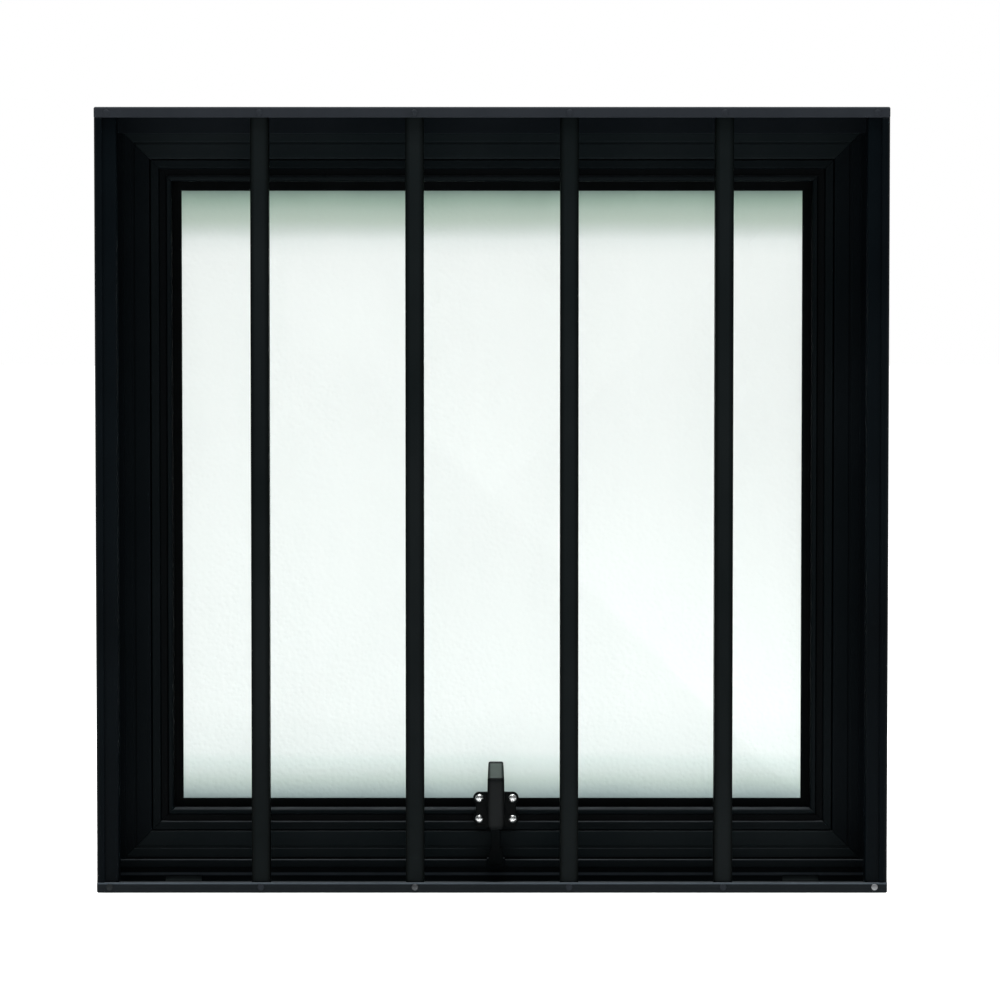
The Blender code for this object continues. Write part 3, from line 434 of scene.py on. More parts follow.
def powder_coat(name, deep, worn, rough=0.46, lip_light_tone=None, recess=None, highlight_line_height=None, rows=None):
    """Black powder coat: orange-peel skin, cloudy gloss, and faces that look up made dusty and
    lighter as painted top light.

    A lip light tone is painted light on the front lip, and the depths of a recess get painted
    shade.
    A pale line at the given height is a painted highlight, in front of drain flaps painted pale as
    painted light for daylight through the slots.
    Rows (first middle, pitch, half width) are upright bars whose sides get painted shade.
    """
    finish = Finish(name, Specular_IOR_Level=0.03)
    cloud = finish.noise(7.0, 4.0)
    smear = finish.noise(38.0, 3.0, finish.stretched((1.0, 1.0, 0.35)))
    # Dusting and painted light: faces that look up are lighter, partly dusty and partly standing in
    # for the light from above.
    dust_and_top_light = finish.facing_up() * (finish.noise(60.0, 5.0).above(0.25, 0.70) * 0.35 + 0.60)
    specks = (1.0 - finish.cells(420.0).above(0.05, 0.10)) * smear.above(0.56, 0.64) * 0.25
    colour = finish.blend(cloud.above(0.35, 0.72), deep, worn)
    if lip_light_tone:
        # Painted light: the front lip lighter than the recessed faces behind it.
        lit_lip_mask = 1.0 - finish.axis("Y").above(FRONT + 0.0004, FRONT + 0.0020)
        colour = finish.blend((lit_lip_mask * (0.7 + smear * 0.5)).clamped(), colour, lip_light_tone)
    if recess:
        # Painted shade: darker with depth in the bead's recess.
        depth = finish.axis("Y").above(*recess)
        colour = finish.blend(depth * 0.75, colour, (0.0006, 0.0010, 0.0013))
    if rows:
        first, pitch, half = rows
        turns = (finish.axis("X") - first) / pitch
        # Painted shade: each bar darker towards its sides than down its middle.
        edges = ((turns - turns.rounded()).size() * pitch).above(half * 0.45, half * 0.95)
        colour = finish.blend(edges * 0.85, colour, (0.0004, 0.0010, 0.0008))
    if highlight_line_height:
        height = finish.axis("Z")
        # Painted light: the drain flaps painted pale, standing in for daylight seen through the
        # slots.
        flaps = finish.axis("Y").above(FRONT + STOP_BACK + 0.0001, FRONT + STOP_BACK + 0.0003)
        flaps = flaps * height.above(WEB + 0.0002, WEB + 0.0004)
        colour = finish.blend(flaps * 0.9, colour, (0.12, 0.15, 0.155))
        # Painted highlight: a pale line along the stop's face at the given height.
        line = 1.0 - (height - highlight_line_height).size().above(0.0005, 0.0015)
        colour = finish.blend(line * (0.5 + smear * 0.6), colour, (0.085, 0.105, 0.125))
    colour = finish.blend(dust_and_top_light, colour, (0.058, 0.066, 0.072))
    colour = finish.blend(specks, colour, (0.03, 0.034, 0.038))
    gloss = rough + (cloud - 0.5) * 0.22 + (smear - 0.5) * 0.16 + dust_and_top_light * 0.3
    finish.set(Base_Color=colour, Roughness=gloss)
    finish.bump(finish.noise(1900.0, 2.0), 0.16, 0.0003)
    return finish.material


def rubber(name="seal_rubber"):
    """Matt black seal rubber with a fine skin and a little bloom."""
    finish = Finish(name, Specular_IOR_Level=0.03)
    bloom = finish.noise(45.0, 4.0)
    colour = finish.blend(bloom.above(0.40, 0.75), (0.0005, 0.0010, 0.0012),
                          (0.0018, 0.0026, 0.0030))
    finish.set(Base_Color=colour, Roughness=0.62 + (bloom - 0.5) * 0.3)
    finish.bump(finish.noise(900.0, 3.0), 0.25, 0.0002)
    return finish.material


# Painted shade on the pane: its colour at heights above the lower and below the upper daylight
# edge, in metres, darker towards each edge.
FOOT_SHADE_TINTS = ((0.000, (0.24, 0.31, 0.31)), (0.005, (0.33, 0.41, 0.40)), (0.013, (0.47, 0.56, 0.52)),
              (0.021, (0.60, 0.68, 0.65)), (0.028, (0.66, 0.75, 0.72)), (0.036, (0.77, 0.83, 0.81)),
              (0.070, (0.83, 0.88, 0.86)))
HEAD_SHADE_TINTS = ((0.080, (0.87, 0.91, 0.89)), (0.050, (0.86, 0.90, 0.88)), (0.038, (0.79, 0.84, 0.82)),
              (0.030, (0.60, 0.67, 0.63)), (0.023, (0.48, 0.57, 0.50)), (0.015, (0.42, 0.52, 0.45)),
              (0.007, (0.30, 0.41, 0.34)), (0.000, (0.17, 0.24, 0.21)))


def obscured_glass(name="obscured_glass"):
    """Pale green-white obscured glass: a fine pebbled face, and painted shade in a band at head and
    foot.
    """
    finish = Finish(name, Transmission_Weight=0.80, IOR=1.45, Specular_IOR_Level=0.3)
    low, high = SASH_EDGE[2] + DAYLIGHT, SASH_EDGE[3] - DAYLIGHT
    pebble = finish.cells(310.0, feature="SMOOTH_F1")
    drift = finish.noise(5.0, 3.0)
    height = finish.axis("Z") + (finish.noise(14.0, 2.0) - 0.5) * 0.006
    share = height.above(low, high)
    # Painted shade: the pane's colour darkens towards its head and foot.
    ramp = finish.node("ShaderNodeValToRGB", None, Fac=share)
    stops = [(place / (high - low), tint) for place, tint in FOOT_SHADE_TINTS]
    stops += [(1 - place / (high - low), tint) for place, tint in HEAD_SHADE_TINTS]
    elements = ramp.color_ramp.elements
    for element, (place, tint) in zip(elements, (stops[0], stops[-1])):
        element.position, element.color = place, (*tint, 1.0)
    for place, tint in stops[1:-1]:
        elements.new(place).color = (*tint, 1.0)
    veil = finish.noise(70.0, 2.0, finish.stretched((1.0, 1.0, 0.06))).above(0.3, 0.8) * 0.05
    colour = finish.blend(veil, ramp.outputs["Color"], (0.62, 0.74, 0.69))
    finish.set(Base_Color=colour, Roughness=0.45 + (drift - 0.5) * 0.2)
    finish.bump(pebble + finish.noise(900.0, 2.0) * 0.3, 0.35, 0.0006)
    return finish.material


def drawn_metal(name, tone, rough, run="Z", metallic=1.0):
    """Bare rolled or drawn metal: fine lines along its run, and cloudy gloss."""
    finish = Finish(name, Metallic=metallic)
    scale = {"X": (0.02, 1.0, 1.0), "Y": (1.0, 0.02, 1.0), "Z": (1.0, 1.0, 0.02)}[run]
    lines = finish.noise(2400.0, 3.0, finish.stretched(scale))
    cloud = finish.noise(30.0, 4.0)
    darker = tuple(value * 0.72 for value in tone)
    colour = finish.blend(cloud.above(0.35, 0.75) * 0.6 + lines * 0.25, tone, darker)
    finish.set(Base_Color=colour, Roughness=rough + (lines - 0.5) * 0.22 + (cloud - 0.5) * 0.14)
    finish.bump(lines, 0.20, 0.0001)
    return finish.material


def moulded(name, tone, rough, specular):
    """Moulded plastic or cast and coated metal: a fine leathery skin."""
    finish = Finish(name, Specular_IOR_Level=specular)
    cloud = finish.noise(55.0, 4.0)
    lighter = tuple(value * 1.9 for value in tone)
    colour = finish.blend(cloud.above(0.40, 0.75), tone, lighter)
    finish.set(Base_Color=colour, Roughness=rough + (cloud - 0.5) * 0.25)
    finish.bump(finish.noise(1500.0, 3.0), 0.22, 0.0002)
    return finish.material


def lever_coat(name="lever_coat"):
    """The latch's coat, satin, with a painted highlight on the thumb pad at the lever's tip and
    painted light down the middle of the lever's face.
    """
    finish = Finish(name, Specular_IOR_Level=0.06)
    tip = span("latch_handle", "z")[1]
    cloud = finish.noise(160.0, 4.0)
    height = finish.axis("Z")
    below_rim = 1.0 - height.above(tip - 0.0016, tip - 0.0004)
    pad = height.above(tip - 0.0124, tip - 0.0116) * below_rim
    # Painted light and shade: the middle of the lever's face lighter, its rounded sides darker.
    middle = 1.0 - (finish.axis("X") - LATCH_X).size().above(0.0036, 0.0056)
    colour = finish.blend(middle * 0.9, (0.0010, 0.0016, 0.0018), (0.0130, 0.0150, 0.0155))
    # Painted highlight: the thumb pad at the tip made pale, where its sloping face catches the
    # light.
    painted_pad_highlight = (pad * middle * (0.75 + cloud * 0.4)).clamped()
    colour = finish.blend(painted_pad_highlight, colour, (0.105, 0.130, 0.120))
    finish.set(Base_Color=colour, Roughness=0.42 + (cloud - 0.5) * 0.25)
    finish.bump(finish.noise(1500.0, 3.0), 0.22, 0.0002)
    return finish.material


LATCH_X = sum(span("latch_spindle", "x")) / 2
LATCH_Z = sum(span("latch_spindle", "z")) / 2
LEVER_COAT = lever_coat()
DEEP, WORN = (0.0014, 0.0030, 0.0044), (0.0040, 0.0064, 0.0084)
COAT = powder_coat("frame_coat", DEEP, WORN)
# Painted shade: a darker copy of the coat for the jambs and the end bars.
JAMB_COAT_SHADED = powder_coat("jamb_coat_shaded", (0.0006, 0.0016, 0.0024), (0.0020, 0.0038, 0.0052))
# Painted light: a lighter copy of the coat for the head and the painted rivets, with more painted
# light on its lip.
HEAD_COAT_LIT = powder_coat("head_coat_lit", (0.0030, 0.0048, 0.0064), (0.0064, 0.0088, 0.0110),
                        lip_light_tone=(0.021, 0.0245, 0.0295))
# Painted light: a lighter copy of the coat for the sill, with painted light on its lip, a painted
# highlight line and pale-painted drain flaps.
SILL_COAT_LIT = powder_coat("sill_coat_lit", (0.0040, 0.0064, 0.0078), (0.0084, 0.0116, 0.0134),
                        lip_light_tone=(0.0105, 0.0130, 0.0150), highlight_line_height=HIGHLIGHT_LINE_HEIGHT)
# Painted light and shade: the sash's rails get a lighter copy of the coat than its stiles.
RAIL_COAT_LIT = powder_coat("rail_coat_lit", (0.0044, 0.0074, 0.0086), (0.0090, 0.0126, 0.0140))
STILE_COAT_SHADED = powder_coat("stile_coat_shaded", (0.0014, 0.0030, 0.0040), (0.0034, 0.0052, 0.0066))
# The beads' recess gets painted shade, darker with depth.
BEAD_COAT = powder_coat("bead_coat", (0.0020, 0.0038, 0.0046), (0.0046, 0.0070, 0.0082),
                        recess=(FRONT + SASH_FACE + 0.0012, FRONT + SASH_FACE + 0.0026))
BAR_MIDDLES = [sum(span(f"security_bar_{number}", "x")) / 2 for number in (1, 2)]
BAR_COAT = powder_coat("bar_coat", (0.0036, 0.0056, 0.0060), (0.0080, 0.0104, 0.0110), 0.42,
                       rows=(BAR_MIDDLES[0], BAR_MIDDLES[1] - BAR_MIDDLES[0],
                             np.ptp(span("security_bar_1", "x")) / 2))
RUBBER = rubber()
GLASS = obscured_glass()
STAINLESS = drawn_metal("stainless", (0.56, 0.56, 0.55), 0.30)
SCREW = drawn_metal("plated_screw", (0.62, 0.62, 0.62), 0.30, "Y")
BRIGHT = drawn_metal("bright_screw", (0.84, 0.86, 0.86), 0.24, "Y")
RIVET = drawn_metal("rivet_metal", (0.28, 0.29, 0.30), 0.50, "Y")
RIVET_WORN = drawn_metal("rivet_worn", (0.085, 0.09, 0.095), 0.55, "Y")
RIVET_PAINTED = drawn_metal("rivet_painted", (0.032, 0.036, 0.038), 0.60, "Y")
MILL = drawn_metal("mill_aluminium", (0.72, 0.73, 0.74), 0.42, "X")
CASTING = moulded("latch_coat", (0.0010, 0.0018, 0.0020), 0.44, 0.05)
TONGUE_COAT = moulded("tongue_coat", (0.0016, 0.0026, 0.0030), 0.50, 0.03)
PLASTIC = moulded("shoe_plastic", (0.008, 0.008, 0.008), 0.52, 0.25)


# ================================================================ outer frame
def frame_rail(side, node, stop_height, nosing):
    """Head or sill: web and rounded front lip in one section, and the stop that stands on it.

    The sill's stop is open at the drain slots, each with a wind flap leaning away behind it.
    """
    section = rounded([(0, 0), (LIP, 0), (LIP, WEB), (WEB, WEB), (WEB, FRAME_DEPTH),
                       (0, FRAME_DEPTH)],
                      [0.0016, 0.0008, 0.0004, 0.0004, 0.0004, 0.0004])
    shells = [member(section, FRAME_EDGE, side, bevel=0.0008)]
    root = WEB / 2
    if nosing:
        shoulder, face = stop_height - NOSING_HEIGHT, STOP_FRONT - NOSING_DEPTH
        upper = rounded([(DRAIN_TOP, STOP_FRONT), (shoulder, STOP_FRONT), (shoulder, face),
                         (stop_height, face), (stop_height, STOP_BACK), (DRAIN_TOP, STOP_BACK)],
                        [0.00005, 0.0003, 0.0005, 0.0011, 0.0005, 0.00005])
        lower = rounded(box_corners(root, DRAIN_TOP, STOP_FRONT, STOP_BACK), 0.00005)
        shells.append(member(upper, FRAME_EDGE, side, trim=WEB + GAP))
        ends = LEFT + WEB + GAP, RIGHT - WEB - GAP
        slots = np.array([-1, 1])[:, None] * DRAIN_MIDDLE + np.array([-1, 1]) * DRAIN_WIDTH / 2
        stretches = [(ends[0], slots[0, 0]), (slots[0, 1], slots[1, 0]), (slots[1, 1], ends[1])]
        shells += [member(lower, FRAME_EDGE, side, stretch=stretch) for stretch in stretches]
        flap_top, flap_back = DRAIN_TOP + 0.0004, STOP_BACK + 0.0052
        flap = rounded([(root, STOP_BACK), (flap_top, flap_back), (flap_top, flap_back + 0.0007),
                        (root, STOP_BACK + 0.0007)], 0.0001)
        shells += [member(flap, FRAME_EDGE, side, stretch=tuple(slot))
                   for slot in slots + (-FLAP_COVER, FLAP_COVER)]
    else:
        stop = rounded(box_corners(root, stop_height, STOP_FRONT, STOP_BACK), 0.0004)
        shells.append(member(stop, FRAME_EDGE, side, trim=WEB + GAP))
    piece(node, shells, "root", HEAD_COAT_LIT if side == "top" else SILL_COAT_LIT, "coated_metal", node)


def bored_stretch(side, middle, half_height, near):
    """A stretch of a jamb's web with a round hole: rays from the hole's middle, at angles a,
    run from its radius to the stretch's straight edges, and include its four corners."""
    edges = np.array([near - WALL_HOLE_DEPTH, FRAME_DEPTH - WALL_HOLE_DEPTH])
    corners = [np.arctan2(z, y) for y in edges for z in (-half_height, half_height)]
    angle = np.sort(np.concatenate([np.linspace(-np.pi, np.pi, 64, endpoint=False), corners]))
    across, up = np.cos(angle), np.sin(angle)
    tiny = 1e-9
    sideways = np.where(across < 0, edges[0], edges[1]) / np.where(across == 0, tiny, across)
    reach = np.minimum(sideways, half_height / np.maximum(np.abs(up), tiny))
    rings = []
    for inset, radius in ((0.0, reach), (0.0, WALL_HOLE_RADIUS), (WEB, WALL_HOLE_RADIUS),
                          (WEB, reach)):
        x = LEFT + inset if side == "left" else RIGHT - inset
        rings.append(np.stack([np.full_like(angle, x), FRONT + WALL_HOLE_DEPTH + radius * across,
                               middle + radius * up], -1))
    return shell(np.stack(rings), closed_path=True)


def jamb(side):
    """Web, rounded front nose, stop and screw lug of one jamb."""
    node = "frame_jamb_" + side
    low, high = SILL_FACE + WEB + GAP, HEAD_FACE - WEB - GAP
    web = rounded(box_corners(0, WEB, JAMB_NOSE - 0.001, FRAME_DEPTH), 0.00005)
    middle = (JAMB_NOSE, JAMB_NOSE)
    nose = np.concatenate([[(JAMB_LIP, WEB), (JAMB_LIP, 0.0004), (JAMB_LIP - 0.0004, 0)],
                           arc(middle, JAMB_NOSE, 270, 180, 10),
                           [(0, JAMB_NOSE + 0.001), (WEB, JAMB_NOSE + 0.001)],
                           arc(middle, JAMB_NOSE - WEB, 180, 270, 6)])
    stop = rounded(box_corners(WEB / 2, STOP, STOP_FRONT, STOP_BACK), 0.0004)
    lug = rounded(box_corners(WEB / 2, WEB + LUG_SIZE, LUG_BACK - LUG_SIZE, LUG_BACK), 0.0006)
    foot = rounded(box_corners(WEB / 2, WEB + LUG_SIZE, LUG_BACK - 0.001, STOP_FRONT + 0.001),
                   0.0002)
    between_lips = (SILL_FACE + LIP + GAP, HEAD_FACE - LIP - GAP)
    between_stops = (SILL_FACE + SILL_STOP + GAP, HEAD_FACE - STOP - GAP)
    holes, half_height = (SILL_FACE + WALL_HOLE_INSET, HEAD_FACE - WALL_HOLE_INSET), 0.012
    cuts = [low, holes[0] - half_height, holes[0] + half_height, holes[1] - half_height,
            holes[1] + half_height, high]
    shells = [member(web, FRAME_EDGE, side, stretch=stretch, bevel=1e-6)
              for stretch in zip(cuts[::2], cuts[1::2])]
    shells += [bored_stretch(side, hole, half_height, JAMB_NOSE - 0.001) for hole in holes]
    shells += [member(nose, FRAME_EDGE, side, stretch=between_lips),
              member(stop, FRAME_EDGE, side, stretch=between_stops),
              member(foot, FRAME_EDGE, side, stretch=between_stops),
              member(lug, FRAME_EDGE, side, stretch=(low, high))]
    piece(node, shells, "root", JAMB_COAT_SHADED, "coated_metal", node)


def frame_seal():
    """A ring of seal on the stops, with a soft round bulb towards the sash."""
    low, high = [y - FRONT for y in span("frame_gasket", "y")]
    left, right = span("frame_gasket", "x")
    bottom, top = span("frame_gasket", "z")
    edge = (left, right, bottom, top)
    width = 0.0048
    section = rounded(box_corners(0.0, width, low, high), [0.0003, 0.0003, 0.0007, 0.0007])
    piece("frame_seal", [ring(section, edge)], "root", RUBBER, "black_rubber", "frame_gasket")


def corner_screws():
    """Countersunk cross-recessed heads, flush in the outer faces of head and sill."""
    for end, sign, face in (("top", 1.0, "high"), ("bottom", -1.0, "low")):
        for hand in ("left", "right"):
            node = f"frame_corner_screw_{end}_{hand}"
            low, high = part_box(node)
            head = (high.z if sign > 0 else low.z)
            centre = ((low.x + high.x) / 2, (low.y + high.y) / 2, head - sign * 0.0004)
            top = crossed_head(0.0033, 0.0, 0.0004, centre, "Z", sign, deep=0.0009)
            cone = [(0.0001, -0.0195), (0.0017, -0.0190), (0.0017, -0.0030), (0.0033, -0.0002),
                    (0.0033, 0.0), (0.0001, 0.0)]
            profile = [(radius, sign * height) for radius, height in cone]
            piece(node, [top, turned(profile, "Z", centre)], "root", SCREW, "screw_steel", node)


# ================================================================ grille
def bars():
    """Round-cornered square tubes, each between its two low-domed rivets."""
    for node in ["grille_end_bar_left", *[f"security_bar_{n}" for n in (1, 2, 3, 4)],
                 "grille_end_bar_right"]:
        low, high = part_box(node)
        outline = rounded(box_corners(low.x, high.x, low.y, high.y), 0.0016, steps=6)
        tube = slab(outline, low.z, high.z, "Z", edge=0.0002)
        piece(node, [tube], "root", BAR_COAT if node.startswith("security") else JAMB_COAT_SHADED,
              "coated_metal", node)


def rivets():
    """A low dome: height = rise cos(90 r / R), with a small flat rim."""
    bare = {"bottom_1": RIVET_PAINTED, "bottom_3": RIVET_WORN, "bottom_6": RIVET}
    angle = np.radians(np.linspace(4, 90, 9))
    for end in ("bottom", "top"):
        for number in range(1, 7):
            label = f"{end}_{number}"
            node = "grille_rivet_" + label
            low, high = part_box(node)
            centre = ((low.x + high.x) / 2, FRONT - GAP, (low.z + high.z) / 2)
            rise = FRONT - GAP - low.y
            dome = np.stack([RIVET_HEAD * np.sin(angle), -rise * np.cos(angle)], 1)
            shank = [(RIVET_HEAD, 0.0), (RIVET_SHANK, 0.0001), (RIVET_SHANK, high.y - centre[1])]
            profile = np.concatenate([dome, shank])
            finish = bare.get(label, HEAD_COAT_LIT)
            slot = "rivet_metal" if label in bare else "coated_metal"
            piece(node, [turned(profile, "Y", centre)], "root", finish, slot, node)


# ================================================================ sash
def sash_rails():
    """Mitred rails: a softly rounded face, and the ledge behind the glass."""
    ledge_front, ledge_back = 0.0772, 0.0790
    inner = BEAD_OUT + 0.0012
    line, line_floor = (0.0118, 0.0138), SASH_FACE + 0.0009
    section = rounded([(0, SASH_FACE), (line[0], SASH_FACE), (line[0], line_floor),
                       (line[1], line_floor), (line[1], SASH_FACE), (SASH_BOX, SASH_FACE),
                       (SASH_BOX, ledge_front), (inner, ledge_front), (inner, ledge_back),
                       (SASH_BOX, ledge_back), (SASH_BOX, SASH_BACK), (0, SASH_BACK)],
                      [0.0012, 0.0003, 0.0001, 0.0001, 0.0003, 0.0012, 0.0003, 0.0004, 0.0009,
                       0.0003, 0.0008, 0.0010])
    for side, node in (("top", "sash_top_rail"), ("bottom", "sash_bottom_rail"),
                       ("left", "sash_stile_left"), ("right", "sash_stile_right")):
        rail = member(section, SASH_EDGE, side, mitred=True)
        # Painted light and shade: the lighter copy of the coat on the rails, the darker on the
        # stiles.
        piece(node, [rail], "sash", RAIL_COAT_LIT if side in ("top", "bottom") else STILE_COAT_SHADED,
              "coated_metal", node)


def glazing_beads():
    """Strip, recess and rounded nose of the beads on the room side."""
    face = SASH_FACE + 0.0002
    recess, back = face + 0.0030, 0.0664
    crest = BEAD_OUT - 0.0036
    strip = BEAD_IN + 0.0060
    outer = rounded([(BEAD_IN, 0.0769), (BEAD_IN, face), (strip, face), (strip + 0.0008, recess),
                     (crest - 0.0012, recess), (crest - 0.0002, face + 0.0003),
                     (BEAD_OUT, face + 0.0003), (BEAD_OUT, back), (BEAD_OUT - 0.0015, back),
                     (BEAD_OUT - 0.0015, recess + 0.0045), (BEAD_IN + 0.0015, recess + 0.0045),
                     (BEAD_IN + 0.0015, 0.0769)],
                    [0.0002, 0.0006, 0.0006, 0.0003, 0.0004, 0.0005, 0.0030, 0.0004, 0.0002,
                     0.0003, 0.0003, 0.0002], steps=6)
    for side in ("top", "bottom", "left", "right"):
        node = "glazing_bead_" + side
        piece(node, [member(outer, SASH_EDGE, side, mitred=True)], "sash", BEAD_COAT,
              "coated_metal", node)


def glazing():
    """The pane and the two rings of seal that grip its edge."""
    low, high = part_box("glass_pane")
    outline = rounded(box_corners(low.x, high.x, low.z, high.z), 0.0015)
    piece("glass_pane", [slab(outline, low.y, high.y, "Y", edge=0.0005)], "sash", GLASS,
          "obscured_glass", "glass_pane")
    for node, width, lip in (("glazing_gasket_inner", 0.0102, 0.0012),
                             ("glazing_gasket_outer", 0.0088, 0.0008)):
        near, far = [y - FRONT for y in span(node, "y")]
        edge = (*span(node, "x"), *span(node, "z"))
        section = rounded(box_corners(0.0, width, near, far), [0.0003, lip, 0.0003, 0.0003])
        piece(node, [ring(section, edge)], "sash", RUBBER, "black_rubber", node)


# ================================================================ stays
BAR_END = 0.0075   # radius of the round ends of an arm and a sash bar


def stays():
    """Track, shoe, arm and sash bar of the friction stay on each side."""
    for hand, side in ((-1, "left"), (1, "right")):
        wall = LEFT if hand < 0 else RIGHT
        low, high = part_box("stay_track_" + side)
        middle = (low.y + high.y) / 2
        half, lip, slot = (high.y - low.y) / 2, 0.0010, 0.0045
        floor_in, floor_out, lip_in, lip_out = 0.0023, 0.0035, 0.0063, 0.0073
        section = [(floor_in, -half), (lip_out, -half), (lip_out, -slot), (lip_in, -slot),
                   (lip_in, 0.0012 - half), (floor_out, 0.0012 - half), (floor_out, half - 0.0012),
                   (lip_in, half - 0.0012), (lip_in, slot), (lip_out, slot), (lip_out, half),
                   (floor_in, half)]
        outline = rounded([(wall - hand * inset, middle + y) for inset, y in section], 0.0003)
        track = slab(outline, low.z, high.z, "Z", edge=0.0002)

        arm_low, arm_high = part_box("stay_arm_" + side)
        pivots = arm_low.z + BAR_END, arm_high.z - BAR_END

        def stud(radius, first, second, z):
            ends = sorted((wall - hand * first, wall - hand * second))
            rim = 0.0003
            profile = [(0.0001, ends[0]), (radius - rim, ends[0]), (radius, ends[0] + rim),
                       (radius, ends[1] - rim), (radius - rim, ends[1]), (0.0001, ends[1])]
            return turned(profile, "X", (0.0, middle, z), 36)

        piece("stay_track_" + side, [track, stud(0.0040, floor_out - 0.0004, 0.0073, pivots[0]),
                                     stud(0.0025, 0.0070, 0.0092, pivots[0])],
              "root", STAINLESS, "stainless", "stay_track_" + side)

        def bar_outline(bottom, top, round_bottom):
            upper = arc((middle, top), BAR_END, 0, 180, 14)
            lower = (arc((middle, bottom), BAR_END, 180, 360, 14) if round_bottom
                     else np.array([(middle - BAR_END, bottom), (middle + BAR_END, bottom)]))
            return np.concatenate([upper, lower])

        arm = slab(bar_outline(*pivots, True), arm_low.x, arm_high.x, "X", edge=0.0003)
        piece("stay_arm_" + side, [arm], "stay_arm_" + side, STAINLESS, "stainless",
              "stay_arm_" + side)

        bar_low, bar_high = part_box("stay_sash_bar_" + side)
        ends = sorted((wall - hand * 0.0095, wall - hand * 0.0111))
        bar = slab(bar_outline(bar_low.z, bar_high.z - BAR_END, False), *ends, "X", edge=0.0003)
        piece("stay_sash_bar_" + side, [bar, stud(0.0025, 0.0076, 0.0100, pivots[1])],
              "sash", STAINLESS, "stainless", "stay_sash_bar_" + side)

        shoe_low, shoe_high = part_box("stay_shoe_" + side)
        z = span("stay_sash_bar_" + side, "z")[1] - BAR_END
        body = sorted((wall - hand * 0.0038, wall - hand * 0.0060))
        outline = rounded(box_corners(shoe_low.y, shoe_high.y, shoe_low.z, shoe_high.z), 0.0014)
        block = slab(outline, *body, "X", edge=0.0004)
        piece("stay_shoe_" + side, [block, stud(0.0040, 0.0050, 0.0092, z),
                                    stud(0.0025, 0.0090, 0.0111, z)],
              "stay_shoe_" + side, PLASTIC, "black_plastic", "stay_shoe_" + side)


# ================================================================ latch
def latch_base():
    """The mounting plate, and the casting with two ears a side and a round boss."""
    low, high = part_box("latch_mounting_plate")
    outline = rounded(box_corners(low.x, high.x, low.z, high.z), 0.0020)
    piece("latch_mounting_plate", [slab(outline, low.y, high.y, "Y", edge=0.0004)], "sash", CASTING,
          "coated_metal", "latch_mounting_plate")

    low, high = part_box("latch_base")
    face = span("latch_screw_1", "y")[0] + 0.0022 + GAP
    body, ear, ear_x, ear_z = 0.0078, 0.0049, 0.0127, 0.0080
    top, bottom = high.z - LATCH_Z, low.z - LATCH_Z
    right = np.concatenate([[(body * 0.7, bottom), (body, bottom + 0.002)],
                            arc((ear_x, -ear_z), ear, -110, 55, 16),
                            arc((ear_x, ear_z), ear, -55, 100, 16), [(body, top)]])
    outline = np.concatenate([right, right[::-1] * (-1, 1)])
    outline = outline * (0.998, 0.998) + (LATCH_X, LATCH_Z)
    flange = slab(outline, face, high.y, "Y", edge=0.0008, steps=5)
    profile = [(0.0001, low.y), (0.0062, low.y), (0.0070, low.y + 0.0008), (0.0070, face + 0.0012),
               (0.0001, face + 0.0012)]
    boss = turned(profile, "Y", (LATCH_X, 0, LATCH_Z), 48)
    piece("latch_base", [flange, boss], "sash", CASTING, "latch_casting", "latch_base")


def latch_screws():
    for number in (1, 2, 3, 4):
        node = f"latch_screw_{number}"
        low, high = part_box(node)
        crown = 0.0022
        centre = ((low.x + high.x) / 2, low.y + crown, (low.z + high.z) / 2)
        head = crossed_head(0.00325, 0.0004, crown, centre, slot=0.12)
        shank = turned([(0.0001, -0.0002), (0.0018, -0.0002), (0.0018, high.y - centre[1]),
                        (0.0001, high.y - centre[1])], "Y", centre)
        piece(node, [head, shank], "sash", BRIGHT, "bright_screw", node)


def latch_lever():
    """The lever: a rounded section whose front, back and half width change with height.

    Each station along the height has a superellipse |u|^5 + |v|^5 = 1, stretched to the
    half width across and to half the thickness from back to front.
    """
    low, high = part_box("latch_handle")
    reach = np.array([0.0, 0.0004, 0.0012, 0.0030, 0.0070, 0.0110, 0.0200, 0.0272, 0.0330, 0.0364,
                      0.0372, 0.0384, 0.0392, 0.0402, 0.0416, 0.0450, 0.0490, 0.0515, 0.0522,
                      0.0526])
    fore = 1e-4 * np.array([28, 22, 14, 4, 0, 0, 0, 0, 0, 0, 1, 4, -12, -28, -34, -20, -4, 6, 12,
                            18])
    rear = 1e-4 * np.array([14, 11, 8, 3, 0, 0, 0, 3, 9, 12, 12, 12, 12, 12, 12, 12, 12, 12, 13,
                            15])
    wide = 1e-4 * np.array([44, 56, 63, 66, 68, 68, 68, 66, 65, 64, 64, 64, 64, 63, 62, 61, 59, 57,
                            54, 46])
    scale = (high.z - low.z) / reach[-1]
    hub_front, hub_back = -0.0419 + 0.0361, high.y
    front = np.maximum(hub_front + fore, low.y)
    back = hub_back - rear
    angle = np.linspace(0, 2 * np.pi, 64, endpoint=False)
    power = 2 / 5
    u = np.sign(np.cos(angle)) * np.abs(np.cos(angle)) ** power
    v = np.sign(np.sin(angle)) * np.abs(np.sin(angle)) ** power
    x = LATCH_X + wide[:, None] * u
    y = ((front + back) / 2)[:, None] + ((back - front) / 2)[:, None] * v
    z = np.repeat((low.z + reach * scale)[:, None], 64, 1)
    piece("latch_handle", [shell(np.stack([x, y, z], -1))], "latch_handle", LEVER_COAT,
          "latch_casting", "latch_handle", sharp=50)


